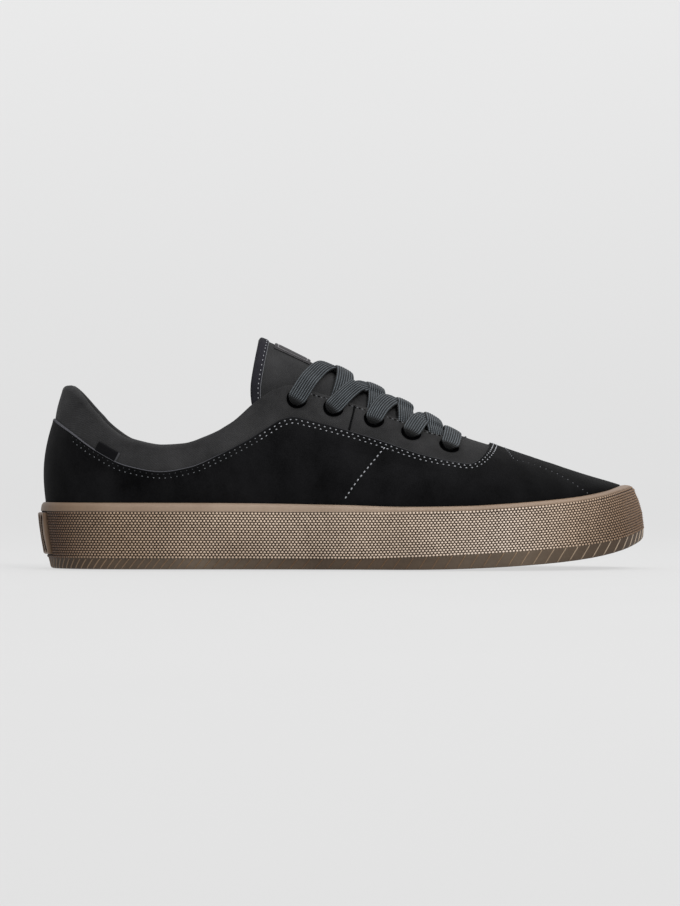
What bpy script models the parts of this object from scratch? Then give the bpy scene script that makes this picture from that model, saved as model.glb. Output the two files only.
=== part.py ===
"""Low-top lace-up skateboarding shoe for the right foot: a rubber cup sole with a heel plate, an insole,
one hollow upper with a suede step and a padded collar, a tongue, flat laces and two small woven labels.

Metres. +X points to the toe, -Y to the outer (lateral) side, +Z up. The origin lies on the floor, under
the middle of the shoe's box."""

import math

import bmesh
import bpy
import numpy as np
from mathutils import Vector

# Driving dimensions of the sole
sole_length = 0.298
sole_width = 0.108
sidewall_height = 0.0324
toe_spring = 0.008
toe_roll = 0.0061
rim_width = 0.0030
heel_rim_width = 0.0020
toe_rim_width = 0.0112
heel_floor_height = 0.016
forefoot_floor_height = 0.009
tread_depth = 0.0016
tread_groove_width = 0.0022
tread_pitch = 0.0142
tread_margin = 0.009
spine_settle = 0.03

# Driving dimensions of the heel plate
plate_width = 0.028
plate_thickness = 0.0021
plate_low = 0.0070
plate_high = 0.0274
plate_groove_depth = 0.0010
plate_groove_width = 0.0013
plate_frame = 0.0026
plate_round = 0.0004

# Driving dimensions of the upper
collar_height = 0.0896
instep_height = 0.1055
suede_thickness = 0.0012
wall_thickness = 0.0024
collar_thickness = 0.0068
collar_pad_depth = 0.022
heel_fan_share = 0.144
toe_fan_share = 0.832
throat_end_share = 0.7005
throat_bend_share = 0.632
suede_front_share = 0.7445
suede_bend_share = 0.698
eyelet_radius = 0.0024
overhang_top = 0.40

# Driving dimensions of the soft pieces inside and on top
insole_thickness = 0.0048
insole_low_round = 0.0020
insole_top_round = 0.0016
insole_rim_width = 0.010
tongue_thickness = 0.0042
tongue_edge_thickness = 0.0022
tongue_clearance = 0.0007
tongue_toe_share = 0.712
tongue_top_share = 0.366
tongue_lean = 0.0058
tongue_corner = 0.046
lace_width = 0.0090
lace_thickness = 0.0018
lace_dip = 0.006
lace_wrap = 0.80
lace_pinch = 0.62
lace_end_inset = 0.0042
lace_cross_lift = 0.80
lace_bar_lift = 0.60
lace_edge_run = 0.001
label_thickness = 0.0007
side_tag_length = 0.0112
side_tag_width = 0.0036
tongue_label_length = 0.0175
tongue_label_width = 0.0160
gap = 0.0003
weld_distance = 0.00001

heel_x = -(sole_length - plate_thickness) / 2
toe_x = heel_x + sole_length

# Columns: share of the sole's length from the heel, share of its half width. The outer side first, then
# the toe's tip, then the inner side back to the heel.
outline_rows = [
    (0.000, 0.00),
    (0.014, -0.32),
    (0.050, -0.56),
    (0.105, -0.69),
    (0.180, -0.735),
    (0.295, -0.745),
    (0.396, -0.765),
    (0.497, -0.83),
    (0.590, -0.925),
    (0.665, -0.99),
    (0.725, -0.99),
    (0.800, -0.915),
    (0.865, -0.795),
    (0.925, -0.62),
    (0.971, -0.37),
    (1.000, 0.11),
    (0.988, 0.45),
    (0.954, 0.695),
    (0.895, 0.875),
    (0.820, 0.975),
    (0.750, 1.00),
    (0.670, 0.925),
    (0.590, 0.81),
    (0.500, 0.71),
    (0.400, 0.675),
    (0.290, 0.70),
    (0.180, 0.72),
    (0.105, 0.67),
    (0.050, 0.54),
    (0.014, 0.31),
]

# Columns: share of the sidewall's height, inset in shares of the rim's width at the sides, at the heel
# (shares of the heel rim's width) and at the toe (shares of the toe rim's width).
sidewall_rows = [
    (0.000, 1.30, 2.90, 0.10),
    (0.030, 1.08, 2.55, 0.02),
    (0.160, 0.82, 2.05, 0.00),
    (0.175, 0.68, 1.85, 0.00),
    (0.450, 0.20, 1.05, 0.08),
    (0.680, 0.02, 0.50, 0.24),
    (0.862, 0.12, 0.24, 0.43),
    (0.872, 0.02, 0.10, 0.42),
    (0.955, 0.24, 0.30, 0.60),
    (0.990, 0.58, 0.64, 0.82),
    (1.000, 1.00, 1.00, 1.00),
]

# Columns: share of length, height of the sidewall's top in shares of sidewall_height.
rim_rows = [
    (0.000, 1.004),
    (0.295, 0.998),
    (0.497, 0.970),
    (0.600, 0.944),
    (0.700, 0.957),
    (0.765, 0.990),
    (0.830, 1.036),
    (0.885, 1.090),
    (0.930, 1.165),
    (0.962, 1.250),
    (1.000, 1.350),
]

# Columns: share of length, height of the upper's ridge in shares of instep_height. Behind the throat it is
# where the sides would meet if the shoe were closed.
ridge_rows = [
    (0.144, 1.240),
    (0.290, 1.172),
    (0.369, 1.100),
    (0.450, 0.992),
    (0.530, 0.879),
    (0.614, 0.753),
    (0.671, 0.667),
    (0.705, 0.622),
    (0.748, 0.583),
    (0.815, 0.519),
    (0.898, 0.442),
    (0.962, 0.388),
    (1.000, 0.350),
]

# Columns: share of length, roundness of the section (2 is an ellipse, less is a tent), overhang of the
# sides in shares of the half width.
section_rows = [
    (0.144, 2.00, 0.040),
    (0.300, 1.95, 0.040),
    (0.420, 1.85, 0.030),
    (0.560, 1.75, 0.022),
    (0.680, 1.80, 0.012),
    (0.780, 2.05, 0.000),
    (1.000, 2.20, 0.000),
]

# Columns: share of length, height of the collar's and eyestay's edge in shares of collar_height.
edge_rows = [
    (0.040, 1.012),
    (0.049, 0.992),
    (0.068, 0.918),
    (0.090, 0.857),
    (0.123, 0.765),
    (0.150, 0.712),
    (0.203, 0.680),
    (0.240, 0.688),
    (0.275, 0.729),
    (0.317, 0.803),
    (0.359, 0.925),
    (0.390, 0.992),
    (0.420, 1.016),
    (0.456, 0.978),
    (0.521, 0.915),
    (0.587, 0.844),
    (0.640, 0.775),
]

# Columns: share of length, height of the suede's upper edge in shares of collar_height.
suede_rows = [
    (0.021, 0.824),
    (0.051, 0.757),
    (0.098, 0.646),
    (0.145, 0.568),
    (0.203, 0.534),
    (0.249, 0.558),
    (0.296, 0.624),
    (0.347, 0.711),
    (0.383, 0.787),
    (0.402, 0.822),
    (0.420, 0.833),
    (0.441, 0.818),
    (0.511, 0.756),
    (0.569, 0.696),
    (0.622, 0.635),
    (0.657, 0.605),
    (0.700, 0.578),
]

# Columns: share of length, height of the eyelet in shares of collar_height, forward bow of the lace that
# starts there in shares of the shortest way's bow. From the ankle to the toe.
eyelet_rows = [
    (0.4235, 0.925, 1.00),
    (0.4830, 0.880, 1.00),
    (0.5510, 0.818, 0.85),
    (0.6120, 0.748, 0.35),
    (0.6750, 0.678, 0.25),
]

# Columns: share of length, half width of the tongue in shares of the sole's half width.
tongue_rows = [
    (0.30, 0.585),
    (0.42, 0.580),
    (0.55, 0.540),
    (0.72, 0.440),
]


def curve_through(rows, column=1):
    """A smooth function through a table's first column and another one, level past its ends."""
    xs = np.array([row[0] for row in rows])
    ys = np.array([row[column] for row in rows])
    steps = np.diff(ys) / np.diff(xs)
    slopes = np.zeros(len(xs))
    same_way = steps[:-1] * steps[1:] > 0
    harmonic = 2 * steps[:-1] * steps[1:] / np.where(same_way, steps[:-1] + steps[1:], 1)
    slopes[1:-1] = np.where(same_way, harmonic, 0)
    slopes[0] = steps[0]
    slopes[-1] = steps[-1]

    def value(x):
        x = min(max(x, xs[0]), xs[-1])
        i = min(int(np.searchsorted(xs, x, side="right")) - 1, len(xs) - 2)
        span = xs[i + 1] - xs[i]
        t = (x - xs[i]) / span
        start = ys[i] * (1 + 2 * t) * (1 - t) ** 2 + slopes[i] * span * t * (1 - t) ** 2
        end = ys[i + 1] * t * t * (3 - 2 * t) - slopes[i + 1] * span * t * t * (1 - t)
        return float(start + end)

    return value


def ease(t):
    """0 to 1 with level ends."""
    t = min(max(t, 0.0), 1.0)
    return t * t * (3 - 2 * t)


def share_of(x):
    return (x - heel_x) / sole_length


rim_share = curve_through(rim_rows)
ridge_share = curve_through(ridge_rows)
roundness = curve_through(section_rows, 1)
overhang = curve_through(section_rows, 2)
edge_share = curve_through(edge_rows)
suede_share = curve_through(suede_rows)
tongue_share = curve_through(tongue_rows)


def ground(x):
    """Height of the sole's underside: flat under heel and ball, then the toe spring."""
    spring_start = 0.596
    t = max(0.0, (share_of(x) - spring_start) / (1 - spring_start))
    return toe_spring * t**2 + toe_roll * t**8


def rim_height(x):
    return sidewall_height * rim_share(share_of(x))


def cup_floor(x):
    """Height of the floor inside the cup."""
    forward = ease((share_of(x) - 0.25) / 0.40)
    return ground(x) + heel_floor_height + (forefoot_floor_height - heel_floor_height) * forward


def closed_curve(points, steps):
    """A closed Catmull-Rom curve through the points, steps pieces for each."""
    count = len(points)
    made = []
    for i in range(count):
        a, b, c, d = (points[(i + k - 1) % count] for k in range(4))
        for step in range(steps):
            t = step / steps
            made.append(
                0.5 * (2 * b + (c - a) * t + (2 * a - 5 * b + 4 * c - d) * t**2
                       + (3 * b - a - 3 * c + d) * t**3)
            )
    return np.array(made)


def sole_sides():
    """The sole's plan outline as two point rows, outer and inner side, each from the heel to the toe."""
    points = [
        np.array([share * sole_length, width * sole_width / 2]) for share, width in outline_rows
    ]
    dense = closed_curve(points, 24)
    dense[:, 1] -= (dense[:, 1].max() + dense[:, 1].min()) / 2
    dense[:, 1] *= sole_width / (dense[:, 1].max() - dense[:, 1].min())
    dense[:, 0] = heel_x + (dense[:, 0] - dense[:, 0].min()) * sole_length / np.ptp(dense[:, 0])
    dense = np.roll(dense, -int(dense[:, 0].argmin()), axis=0)
    tip = int(dense[:, 0].argmax())
    outer = dense[: tip + 1]
    inner = np.vstack([dense[tip:], dense[:1]])[::-1]
    return outer, inner


def end_weights(x):
    """How much of the heel's and of the toe's inset applies at x."""
    share = share_of(x)
    return ease((0.16 - share) / 0.16), ease((share - 0.80) / 0.20)


def inset_side(points, sign, at_side, at_heel, at_toe):
    """A side's points moved inwards, by amounts that change along the shoe."""
    tangents = np.gradient(points, axis=0)
    tangents /= np.linalg.norm(tangents, axis=1)[:, None]
    # The outline's first and last point turn straight across the shoe.
    tangents[0] = (0, sign)
    tangents[-1] = (0, -sign)
    inward = np.stack([tangents[:, 1], -tangents[:, 0]], axis=1) * sign
    moved = points.copy()
    for i, (x, _) in enumerate(points):
        heel, toe = end_weights(x)
        amount = at_side + (at_heel - at_side) * heel + (at_toe - at_side) * toe
        moved[i] += inward[i] * amount
    return moved


def resample(points, shares):
    """Points at these shares of a side's length."""
    lengths = np.concatenate([[0], np.cumsum(np.linalg.norm(np.diff(points, axis=0), axis=1))])
    wanted = np.array(shares) * lengths[-1]
    return np.stack([np.interp(wanted, lengths, points[:, k]) for k in (0, 1)], axis=1)


outer_outline, inner_outline = sole_sides()
SIDES = {"outer": (outer_outline, -1), "inner": (inner_outline, 1)}


def feather_sides(extra):
    """The plan line where the upper's suede meets the rim, moved in by extra."""
    return {
        name: inset_side(points, sign, rim_width + extra, heel_rim_width + extra, toe_rim_width + extra)
        for name, (points, sign) in SIDES.items()
    }


feather = feather_sides(gap)


def spine_y(x):
    """The middle line of the upper, which bends to the inner side at the toe."""
    low, high = feather["outer"], feather["inner"]
    middle = (np.interp(x, low[:, 0], low[:, 1]) + np.interp(x, high[:, 0], high[:, 1])) / 2
    tip = low[-1]
    settle = ease((tip[0] - x) / spine_settle)
    return float(middle * settle + tip[1] * (1 - settle))


def half_width(x, side):
    """From the middle line to the upper's side, at the rim."""
    points = feather[side]
    return max(abs(float(np.interp(x, points[:, 0], points[:, 1])) - spine_y(x)), 1e-6)


def ridge_height(x):
    return instep_height * ridge_share(share_of(x))


def section(theta, x):
    """Shares of the half width and of the height, at an angle round the section at x."""
    power = roundness(share_of(x))
    wide = max(math.cos(theta), 0.0) ** (2 / power)
    high = max(math.sin(theta), 0.0) ** (2 / power)
    bulge = overhang(share_of(x)) * math.sin(math.pi * min(high / overhang_top, 1.0))
    return wide + bulge, high


def angle_of_height(share, x):
    power = roundness(share_of(x))
    return math.asin(min(max(share, 0.0), 1.0) ** (power / 2))


def angle_of_width(share, x):
    power = roundness(share_of(x))
    return math.acos(min(max(share, 0.0), 1.0) ** (power / 2))


def last_point(foot, side, theta):
    """The upper's outer surface: from the rim at plan point foot, by angle theta towards the ridge."""
    heel_fan = heel_x + heel_fan_share * sole_length
    toe_fan = heel_x + toe_fan_share * sole_length
    spine_x = min(max(foot[0], heel_fan), toe_fan)
    root = np.array([spine_x, spine_y(spine_x)])
    wide, high = section(theta, spine_x)
    plan = root + (np.array(foot) - root) * wide
    if foot[0] <= toe_fan:
        low = rim_height(foot[0])
        return Vector((plan[0], plan[1], low + (ridge_height(spine_x) - low) * high))
    low = rim_height(plan[0])
    across = min(abs(plan[1] - spine_y(plan[0])) / half_width(plan[0], side), 1.0)
    power = roundness(share_of(plan[0]))
    high = max(1 - across**power, 0.0) ** (1 / power)
    return Vector((plan[0], plan[1], low + (max(ridge_height(plan[0]), low) - low) * high))


def angle_of_line(foot, side, height_share, lowered=0.0):
    """The angle where a line drawn on the shoe's side, given as heights along the shoe, crosses here."""
    heel_fan = heel_x + heel_fan_share * sole_length
    spine_x = max(foot[0], heel_fan)
    low = rim_height(foot[0])
    theta = 0.5
    for _ in range(8):
        x = last_point(foot, side, theta)[0]
        height = collar_height * height_share(share_of(x)) - lowered
        theta = angle_of_height((height - low) / (ridge_height(spine_x) - low), spine_x)
    return theta


def line_angle(foot, side, height_share, bend_share, end_share, sharpness, lowered=0.0):
    """As angle_of_line, with a rounded front end where the line crosses the ridge."""
    share = share_of(foot[0])
    if share >= end_share:
        return math.pi / 2
    if share <= bend_share:
        return angle_of_line(foot, side, height_share, lowered)
    bend_x = heel_x + bend_share * sole_length
    start = angle_of_line((bend_x, spine_y(bend_x)), side, height_share, lowered)
    wide, _ = section(start, bend_x)
    t = (share - bend_share) / (end_share - bend_share)
    return angle_of_width(wide * (1 - t**sharpness) ** (1 / sharpness), foot[0])


def wall_at(x, below_edge):
    """Thickness of the upper's wall, padded near the collar's edge."""
    share = share_of(x)
    along = ease((0.335 - share) / 0.10)
    down = ease(1 - below_edge / collar_pad_depth)
    return wall_thickness + (collar_thickness - wall_thickness) * along * down


def rim_rise(x):
    """How far the half-round edge of the opening rises over the last row of the wall."""
    return wall_at(x, 0.0) * 0.32


def edge_angle(foot, side):
    return line_angle(
        foot, side, edge_share, throat_bend_share, throat_end_share, 2.0, rim_rise(foot[0])
    )


def suede_angle(foot, side):
    return line_angle(foot, side, suede_share, suede_bend_share, suede_front_share, 2.5)


class Skin:
    """The upper's outer surface as a grid of points and normals, both sides welded at heel, toe and ridge."""

    def __init__(self, stations, suede_steps, collar_steps):
        self.rows = suede_steps + collar_steps + 2
        self.suede_row = suede_steps
        mesh = bmesh.new()
        self.vertices = {}
        found = {}
        for side in ("outer", "inner"):
            for i, foot in enumerate(feather_feet(side, stations)):
                top = edge_angle(foot, side)
                seam = min(suede_angle(foot, side), top)
                angles = [seam * (k / suede_steps) for k in range(suede_steps + 1)]
                angles += [seam + (top - seam) * (k / collar_steps) for k in range(collar_steps + 1)]
                for j, theta in enumerate(angles):
                    point = last_point(foot, side, theta)
                    twin = self.vertices.get(("outer", i, j))
                    key = tuple(round(c * 1e6) for c in point)
                    if twin is not None and (twin.co - point).length < weld_distance:
                        found[key] = twin
                    if key not in found:
                        found[key] = mesh.verts.new(point)
                    self.vertices[side, i, j] = found[key]
        for side in ("outer", "inner"):
            for i in range(len(stations) - 1):
                for j in range(self.rows - 1):
                    corners = [(i, j), (i + 1, j), (i + 1, j + 1), (i, j + 1)]
                    loop = []
                    for a, b in corners:
                        vertex = self.vertices[side, a, b]
                        if vertex not in loop:
                            loop.append(vertex)
                    if len(loop) < 3:
                        continue
                    if side == "inner":
                        loop.reverse()
                    if mesh.faces.get(loop) is None:
                        mesh.faces.new(loop)
        mesh.normal_update()
        self.normals = {key: v.normal.copy() for key, v in self.vertices.items()}
        self.points = {key: v.co.copy() for key, v in self.vertices.items()}
        mesh.free()


def add_object(name, mesh_builder, colour, rough, parent=None):
    """A named object with its own material, from a bmesh."""
    mesh = bpy.data.meshes.new(name)
    bmesh.ops.recalc_face_normals(mesh_builder, faces=mesh_builder.faces)
    mesh_builder.to_mesh(mesh)
    mesh_builder.free()
    mesh.shade_smooth()
    mesh.set_sharp_from_angle(angle=math.radians(38))
    obj = bpy.data.objects.new(name, mesh)
    bpy.context.scene.collection.objects.link(obj)
    material = bpy.data.materials.new(name + "_finish")
    material.use_nodes = True
    shader = material.node_tree.nodes["Principled BSDF"]
    shader.inputs["Base Color"].default_value = (*colour, 1)
    shader.inputs["Roughness"].default_value = rough
    shader.inputs["Metallic"].default_value = 0
    mesh.materials.append(material)
    obj.parent = parent
    return obj


def add_cutter(name, mesh_builder):
    """A helper for a Boolean, left out of the model."""
    mesh = bpy.data.meshes.new(name)
    bmesh.ops.recalc_face_normals(mesh_builder, faces=mesh_builder.faces)
    mesh_builder.to_mesh(mesh)
    mesh_builder.free()
    obj = bpy.data.objects.new(name, mesh)
    bpy.context.scene.collection.objects.link(obj)
    obj.hide_render = True
    obj.display_type = "WIRE"
    return obj


def boolean(obj, other, operation):
    modifier = obj.modifiers.new(other.name, "BOOLEAN")
    modifier.operation = operation
    modifier.solver = "EXACT"
    modifier.object = other
    # A cutter of several bodies that may touch needs its own overlaps resolved.
    modifier.use_self = True


def ring_shares(count):
    """Shares of a side's length, closer together at heel and toe."""
    even = np.linspace(0, 1, count)
    return even - 0.07 * np.sin(2 * np.pi * even)


def loft(mesh, rings):
    """Quads between closed rings of equal count."""
    for low, high in zip(rings, rings[1:]):
        count = len(low)
        for i in range(count):
            mesh.faces.new([low[i], low[(i + 1) % count], high[(i + 1) % count], high[i]])


def ladder_cap(mesh, ring):
    """Closes a ring with rungs between its two sides, so that it follows a curved sole."""
    count = len(ring)
    half = count // 2
    for i in range(half):
        corners = [ring[i], ring[i + 1], ring[(count - i - 1) % count], ring[(count - i) % count]]
        loop = list(dict.fromkeys(corners))
        mesh.faces.new(loop)


def plan_ring(sides, shares):
    """One closed ring of plan points: out along the outer side, back along the inner side."""
    out = resample(sides["outer"], shares)
    back = resample(sides["inner"], shares)
    return np.vstack([out, back[-2:0:-1]])


def sidewall_sides(row):
    _, at_side, at_heel, at_toe = row
    return {
        name: inset_side(
            points, sign, at_side * rim_width, at_heel * heel_rim_width, at_toe * toe_rim_width
        )
        for name, (points, sign) in SIDES.items()
    }


def build_sole():
    """The cup sole: tread band, pebbled sidewall between two small steps, smooth rim, hollow inside."""
    mesh = bmesh.new()
    shares = ring_shares(45)
    rings = []
    for row in sidewall_rows:
        ring = []
        for x, y in plan_ring(sidewall_sides(row), shares):
            low = ground(x)
            ring.append(mesh.verts.new((x, y, low + (rim_height(x) - low) * row[0])))
        rings.append(ring)
    inside = plan_ring(feather_sides(0.0), shares)
    rings.append([mesh.verts.new((x, y, cup_floor(x))) for x, y in inside])
    loft(mesh, rings)
    ladder_cap(mesh, rings[0])
    ladder_cap(mesh, rings[-1])
    sole = add_object("sole", mesh, (0.24, 0.185, 0.13), 0.62)
    boolean(sole, build_tread_cutter(), "DIFFERENCE")
    return sole


def build_tread_cutter():
    """Zigzag grooves across the underside, inside the edge."""
    mesh = bmesh.new()
    outline = plan_ring(feather_sides(tread_margin), ring_shares(45))
    outer = feather_sides(tread_margin)["outer"]
    inner = feather_sides(tread_margin)["inner"]
    first = outline[:, 0].min() + tread_pitch
    last = outline[:, 0].max() - tread_pitch
    rows = int((last - first) / tread_pitch) + 1
    bend = tread_pitch * 0.30
    for row in range(rows):
        x = first + row * tread_pitch
        low_y = float(np.interp(x, outer[:, 0], outer[:, 1]))
        high_y = float(np.interp(x, inner[:, 0], inner[:, 1]))
        steps = 4
        loops = []
        for k in range(steps + 1):
            y = low_y + (high_y - low_y) * k / steps
            shift = bend if k % 2 else -bend
            low = ground(x + shift)
            top = low + tread_depth
            bottom = low - tread_depth * 2
            corners = []
            for side, z in ((-1, bottom), (1, bottom), (1, top), (-1, top)):
                across = x + shift + side * tread_groove_width / 2
                corners.append(mesh.verts.new((across, y, z)))
            loops.append(corners)
        loft(mesh, loops)
        mesh.faces.new(loops[0][::-1])
        mesh.faces.new(loops[-1])
    return add_cutter("tread_cutter", mesh)


def sidewall_point(along, height, proud):
    """A point on the heel's sidewall: along is the distance round the heel from its back."""
    side = "outer" if along < 0 else "inner"
    best = None
    for low, high in zip(sidewall_rows, sidewall_rows[1:]):
        x0 = heel_x
        z0 = rim_height(x0) * low[0]
        z1 = rim_height(x0) * high[0]
        if z0 <= height <= z1:
            t = (height - z0) / (z1 - z0)
            best = tuple(a + (b - a) * t for a, b in zip(low, high))
    points = sidewall_sides(best)[side]
    lengths = np.concatenate([[0], np.cumsum(np.linalg.norm(np.diff(points, axis=0), axis=1))])
    place = [np.interp(abs(along), lengths, points[:, k]) for k in (0, 1)]
    ahead = [np.interp(abs(along) + 0.001, lengths, points[:, k]) for k in (0, 1)]
    tangent = np.array(ahead) - np.array(place)
    tangent /= np.linalg.norm(tangent)
    sign = SIDES[side][1]
    if abs(along) < 1e-6:
        tangent = np.array([0.0, float(sign)])
    normal = np.array([tangent[1], -tangent[0]]) * -sign
    return Vector((place[0] + normal[0] * proud, place[1] + normal[1] * proud, height))


def build_heel_plate():
    """A raised rubber plate that wraps the back of the sidewall, with plain slanted grooves."""
    mesh = bmesh.new()
    columns, levels = 10, 6
    grids = []
    for proud in (gap, plate_thickness):
        grid = []
        inset = 0.0 if proud == gap else plate_round
        for k in range(levels + 1):
            height = plate_low + inset + (plate_high - plate_low - 2 * inset) * k / levels
            row = []
            for i in range(columns + 1):
                along = (plate_width / 2 - inset) * (2 * i / columns - 1)
                row.append(mesh.verts.new(sidewall_point(along, height, proud)))
            grid.append(row)
        grids.append(grid)
    for grid in grids:
        for low, high in zip(grid, grid[1:]):
            for i in range(columns):
                mesh.faces.new([low[i], low[i + 1], high[i + 1], high[i]])
    borders = []
    for grid in grids:
        border = grid[0] + [row[-1] for row in grid[1:]] + grid[-1][-2::-1]
        borders.append(border + [row[0] for row in grid[-2:0:-1]])
    loft(mesh, borders)
    plate = add_object("heel_plate", mesh, (0.25, 0.195, 0.14), 0.6)
    boolean(plate, build_plate_cutter(), "DIFFERENCE")
    return plate


def build_plate_cutter():
    """Short slanted grooves in two staggered rows, clear of the plate's frame."""
    mesh = bmesh.new()
    frame = plate_frame
    middle = (plate_low + plate_high) / 2
    count = 6
    pitch = (plate_width - 2 * frame) / count
    for level, low in enumerate((plate_low + frame, middle + frame / 4)):
        high = low + (plate_high - plate_low - 2.5 * frame) / 2
        slant = pitch * 0.45 * (1 if level else -1)
        for i in range(count):
            along = -plate_width / 2 + frame + pitch * (i + 0.5)
            loops = []
            for height, shift in ((low, -slant / 2), (high, slant / 2)):
                corners = []
                for half, proud in ((-1, 1), (1, 1), (1, 2), (-1, 2)):
                    depth = plate_thickness - plate_groove_depth if proud == 1 else 3 * plate_thickness
                    across = along + shift + half * plate_groove_width / 2
                    corners.append(mesh.verts.new(sidewall_point(across, height, depth)))
                loops.append(corners)
            loft(mesh, loops)
            mesh.faces.new(loops[0][::-1])
            mesh.faces.new(loops[-1])
    return add_cutter("plate_cutter", mesh)


def build_insole():
    """The footbed: it fills the upper's foot, thicker under the heel cup's edge."""
    mesh = bmesh.new()
    shares = ring_shares(27)
    wall = wall_thickness + gap
    rings = []
    levels = ((insole_low_round, 0.0), (0.0, 0.25), (0.0, 1.0), (insole_top_round, 1.22))
    for extra, level in levels:
        plan = plan_ring(feather_sides(gap + wall + extra), shares)
        rings.append(
            [mesh.verts.new((x, y, cup_floor(x) + gap + insole_thickness * level)) for x, y in plan]
        )
    top = plan_ring(feather_sides(gap + wall + insole_rim_width), shares)
    rings.append([mesh.verts.new((x, y, cup_floor(x) + gap + insole_thickness)) for x, y in top])
    loft(mesh, rings)
    ladder_cap(mesh, rings[0])
    ladder_cap(mesh, rings[-1])
    return add_object("insole", mesh, (0.03, 0.03, 0.032), 0.9)


def upper_stations():
    """Where the upper's meridians start: 0 to 1 round the heel, 1 to 2 beside, 2 to 3 round the toe."""
    beside = list(np.linspace(heel_fan_share, toe_fan_share, 23)[1:-1])
    ends = [0.611, 0.675, 0.690, 0.697, throat_end_share, 0.722, 0.735, 0.7418, suede_front_share]
    beside = sorted([s for s in beside if min(abs(s - e) for e in ends) > 0.0045] + ends)
    beside = [1 + (s - heel_fan_share) / (toe_fan_share - heel_fan_share) for s in beside]
    return [*np.linspace(0, 1, 9), *beside, *np.linspace(2, 3, 9)]


def feather_feet(side, stations):
    """Plan points of the feather line: both sides' points beside the foot lie at the same x."""
    points = feather[side]
    heel_fan = heel_x + heel_fan_share * sole_length
    toe_fan = heel_x + toe_fan_share * sole_length
    lengths = np.concatenate([[0], np.cumsum(np.linalg.norm(np.diff(points, axis=0), axis=1))])
    heel_length = np.interp(heel_fan, points[:, 0], lengths)
    toe_length = np.interp(toe_fan, points[:, 0], lengths)
    feet = []
    for station in stations:
        if station <= 1:
            length = heel_length * station
        elif station < 2:
            length = np.interp(heel_fan + (toe_fan - heel_fan) * (station - 1), points[:, 0], lengths)
        else:
            length = toe_length + (lengths[-1] - toe_length) * (station - 2)
        feet.append(np.array([np.interp(length, lengths, points[:, k]) for k in (0, 1)]))
    return feet


def foot_of(x, side):
    """The plan point of the feather line beside x."""
    points = feather[side]
    return np.array([x, float(np.interp(x, points[:, 0], points[:, 1]))])


def build_upper():
    """One hollow shell. Its outside steps down from the suede to the collar, its inside is smooth."""
    suede_steps, collar_steps = 5, 4
    stations = upper_stations()
    skin = Skin(stations, suede_steps, collar_steps)
    mesh = bmesh.new()
    made = {}

    def vertex(point):
        key = tuple(round(c * 1e6) for c in point)
        if key not in made:
            made[key] = mesh.verts.new(point)
        return made[key]

    def quad(corners, flip):
        loop = list(dict.fromkeys(corners))
        if len(loop) < 3:
            return
        if flip:
            loop.reverse()
        if mesh.faces.get(loop) is None:
            mesh.faces.new(loop)

    for side in ("outer", "inner"):
        flip = side == "inner"
        columns = []
        for i in range(len(stations)):
            points = [skin.points[side, i, j] for j in range(skin.rows)]
            normals = [skin.normals[side, i, j] for j in range(skin.rows)]
            share = share_of(points[0].x)
            is_open = share < throat_end_share - 1e-6
            covered = share > suede_front_share + 1e-6
            edge = points[-1]
            floor = Vector((points[0].x, points[0].y, cup_floor(points[0].x) + gap))
            inward = Vector((-normals[0].x, -normals[0].y, 0)).normalized() * wall_thickness
            outside = [vertex(floor), vertex(points[0])]
            inside = [vertex(floor + inward), vertex(points[0] + inward)]
            for j in range(1, skin.rows):
                below = j <= skin.suede_row or covered
                outside.append(vertex(points[j] - normals[j] * (0 if below else suede_thickness)))
                wall = wall_at(edge.x, (edge - points[j]).length) if is_open else wall_thickness
                if j != skin.suede_row + 1:
                    inside.append(vertex(points[j] - normals[j] * wall))
            bridge = []
            if is_open:
                # The opening's edge is half round.
                up = (points[-1] - points[-2]).normalized()
                centre = (outside[-1].co + inside[-1].co) / 2
                spoke = outside[-1].co - centre
                for turn in (math.pi / 4, math.pi / 2, math.pi * 3 / 4):
                    reach = spoke * math.cos(turn) + up * spoke.length * math.sin(turn)
                    bridge.append(vertex(centre + reach))
            columns.append((outside, inside, bridge, share > suede_front_share - 1e-6))
        for (out_a, in_a, top_a, shut), (out_b, in_b, top_b, _) in zip(columns, columns[1:]):
            # Ahead of the suede's front the rows above its edge have no width left.
            shown = skin.suede_row + 1 if shut else len(out_a) - 1
            for j in range(shown):
                quad([out_a[j], out_b[j], out_b[j + 1], out_a[j + 1]], flip)
            for j in range(len(in_a) - 1):
                quad([in_a[j], in_a[j + 1], in_b[j + 1], in_b[j]], flip)
            quad([out_a[0], in_a[0], in_b[0], out_b[0]], flip)
            if not top_a:
                continue
            rim_a = [out_a[-1], *top_a, in_a[-1]]
            rim_b = [out_b[-1], *top_b, in_b[-1]] if top_b else [out_b[-1]] * 4 + [in_b[-1]]
            for j in range(4):
                quad([rim_a[j], rim_b[j], rim_b[j + 1], rim_a[j + 1]], flip)
    upper = add_object("upper", mesh, (0.022, 0.022, 0.024), 0.9)
    boolean(upper, build_eyelet_cutter(), "DIFFERENCE")
    return upper


def eyelet_places():
    """For each side, each eyelet's point on the outer surface and the surface's normal."""
    places = {}
    for side in ("outer", "inner"):
        places[side] = []
        for share, height, _ in eyelet_rows:
            x = heel_x + share * sole_length
            low = rim_height(x)
            theta = angle_of_height((height * collar_height - low) / (ridge_height(x) - low), x)
            places[side].append(surface_frame(x, theta, side))
    return places


def surface_frame(x, theta, side):
    """Point and outward normal of the upper's outer surface on the cross section at x."""
    step = 1e-3
    here = last_point(foot_of(x, side), side, theta)
    ahead = last_point(foot_of(x + step, side), side, theta)
    up = last_point(foot_of(x, side), side, theta + step)
    down = last_point(foot_of(x, side), side, theta - step)
    normal = (ahead - here).cross(up - down).normalized()
    if side == "inner":
        normal = -normal
    return here, normal


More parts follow.
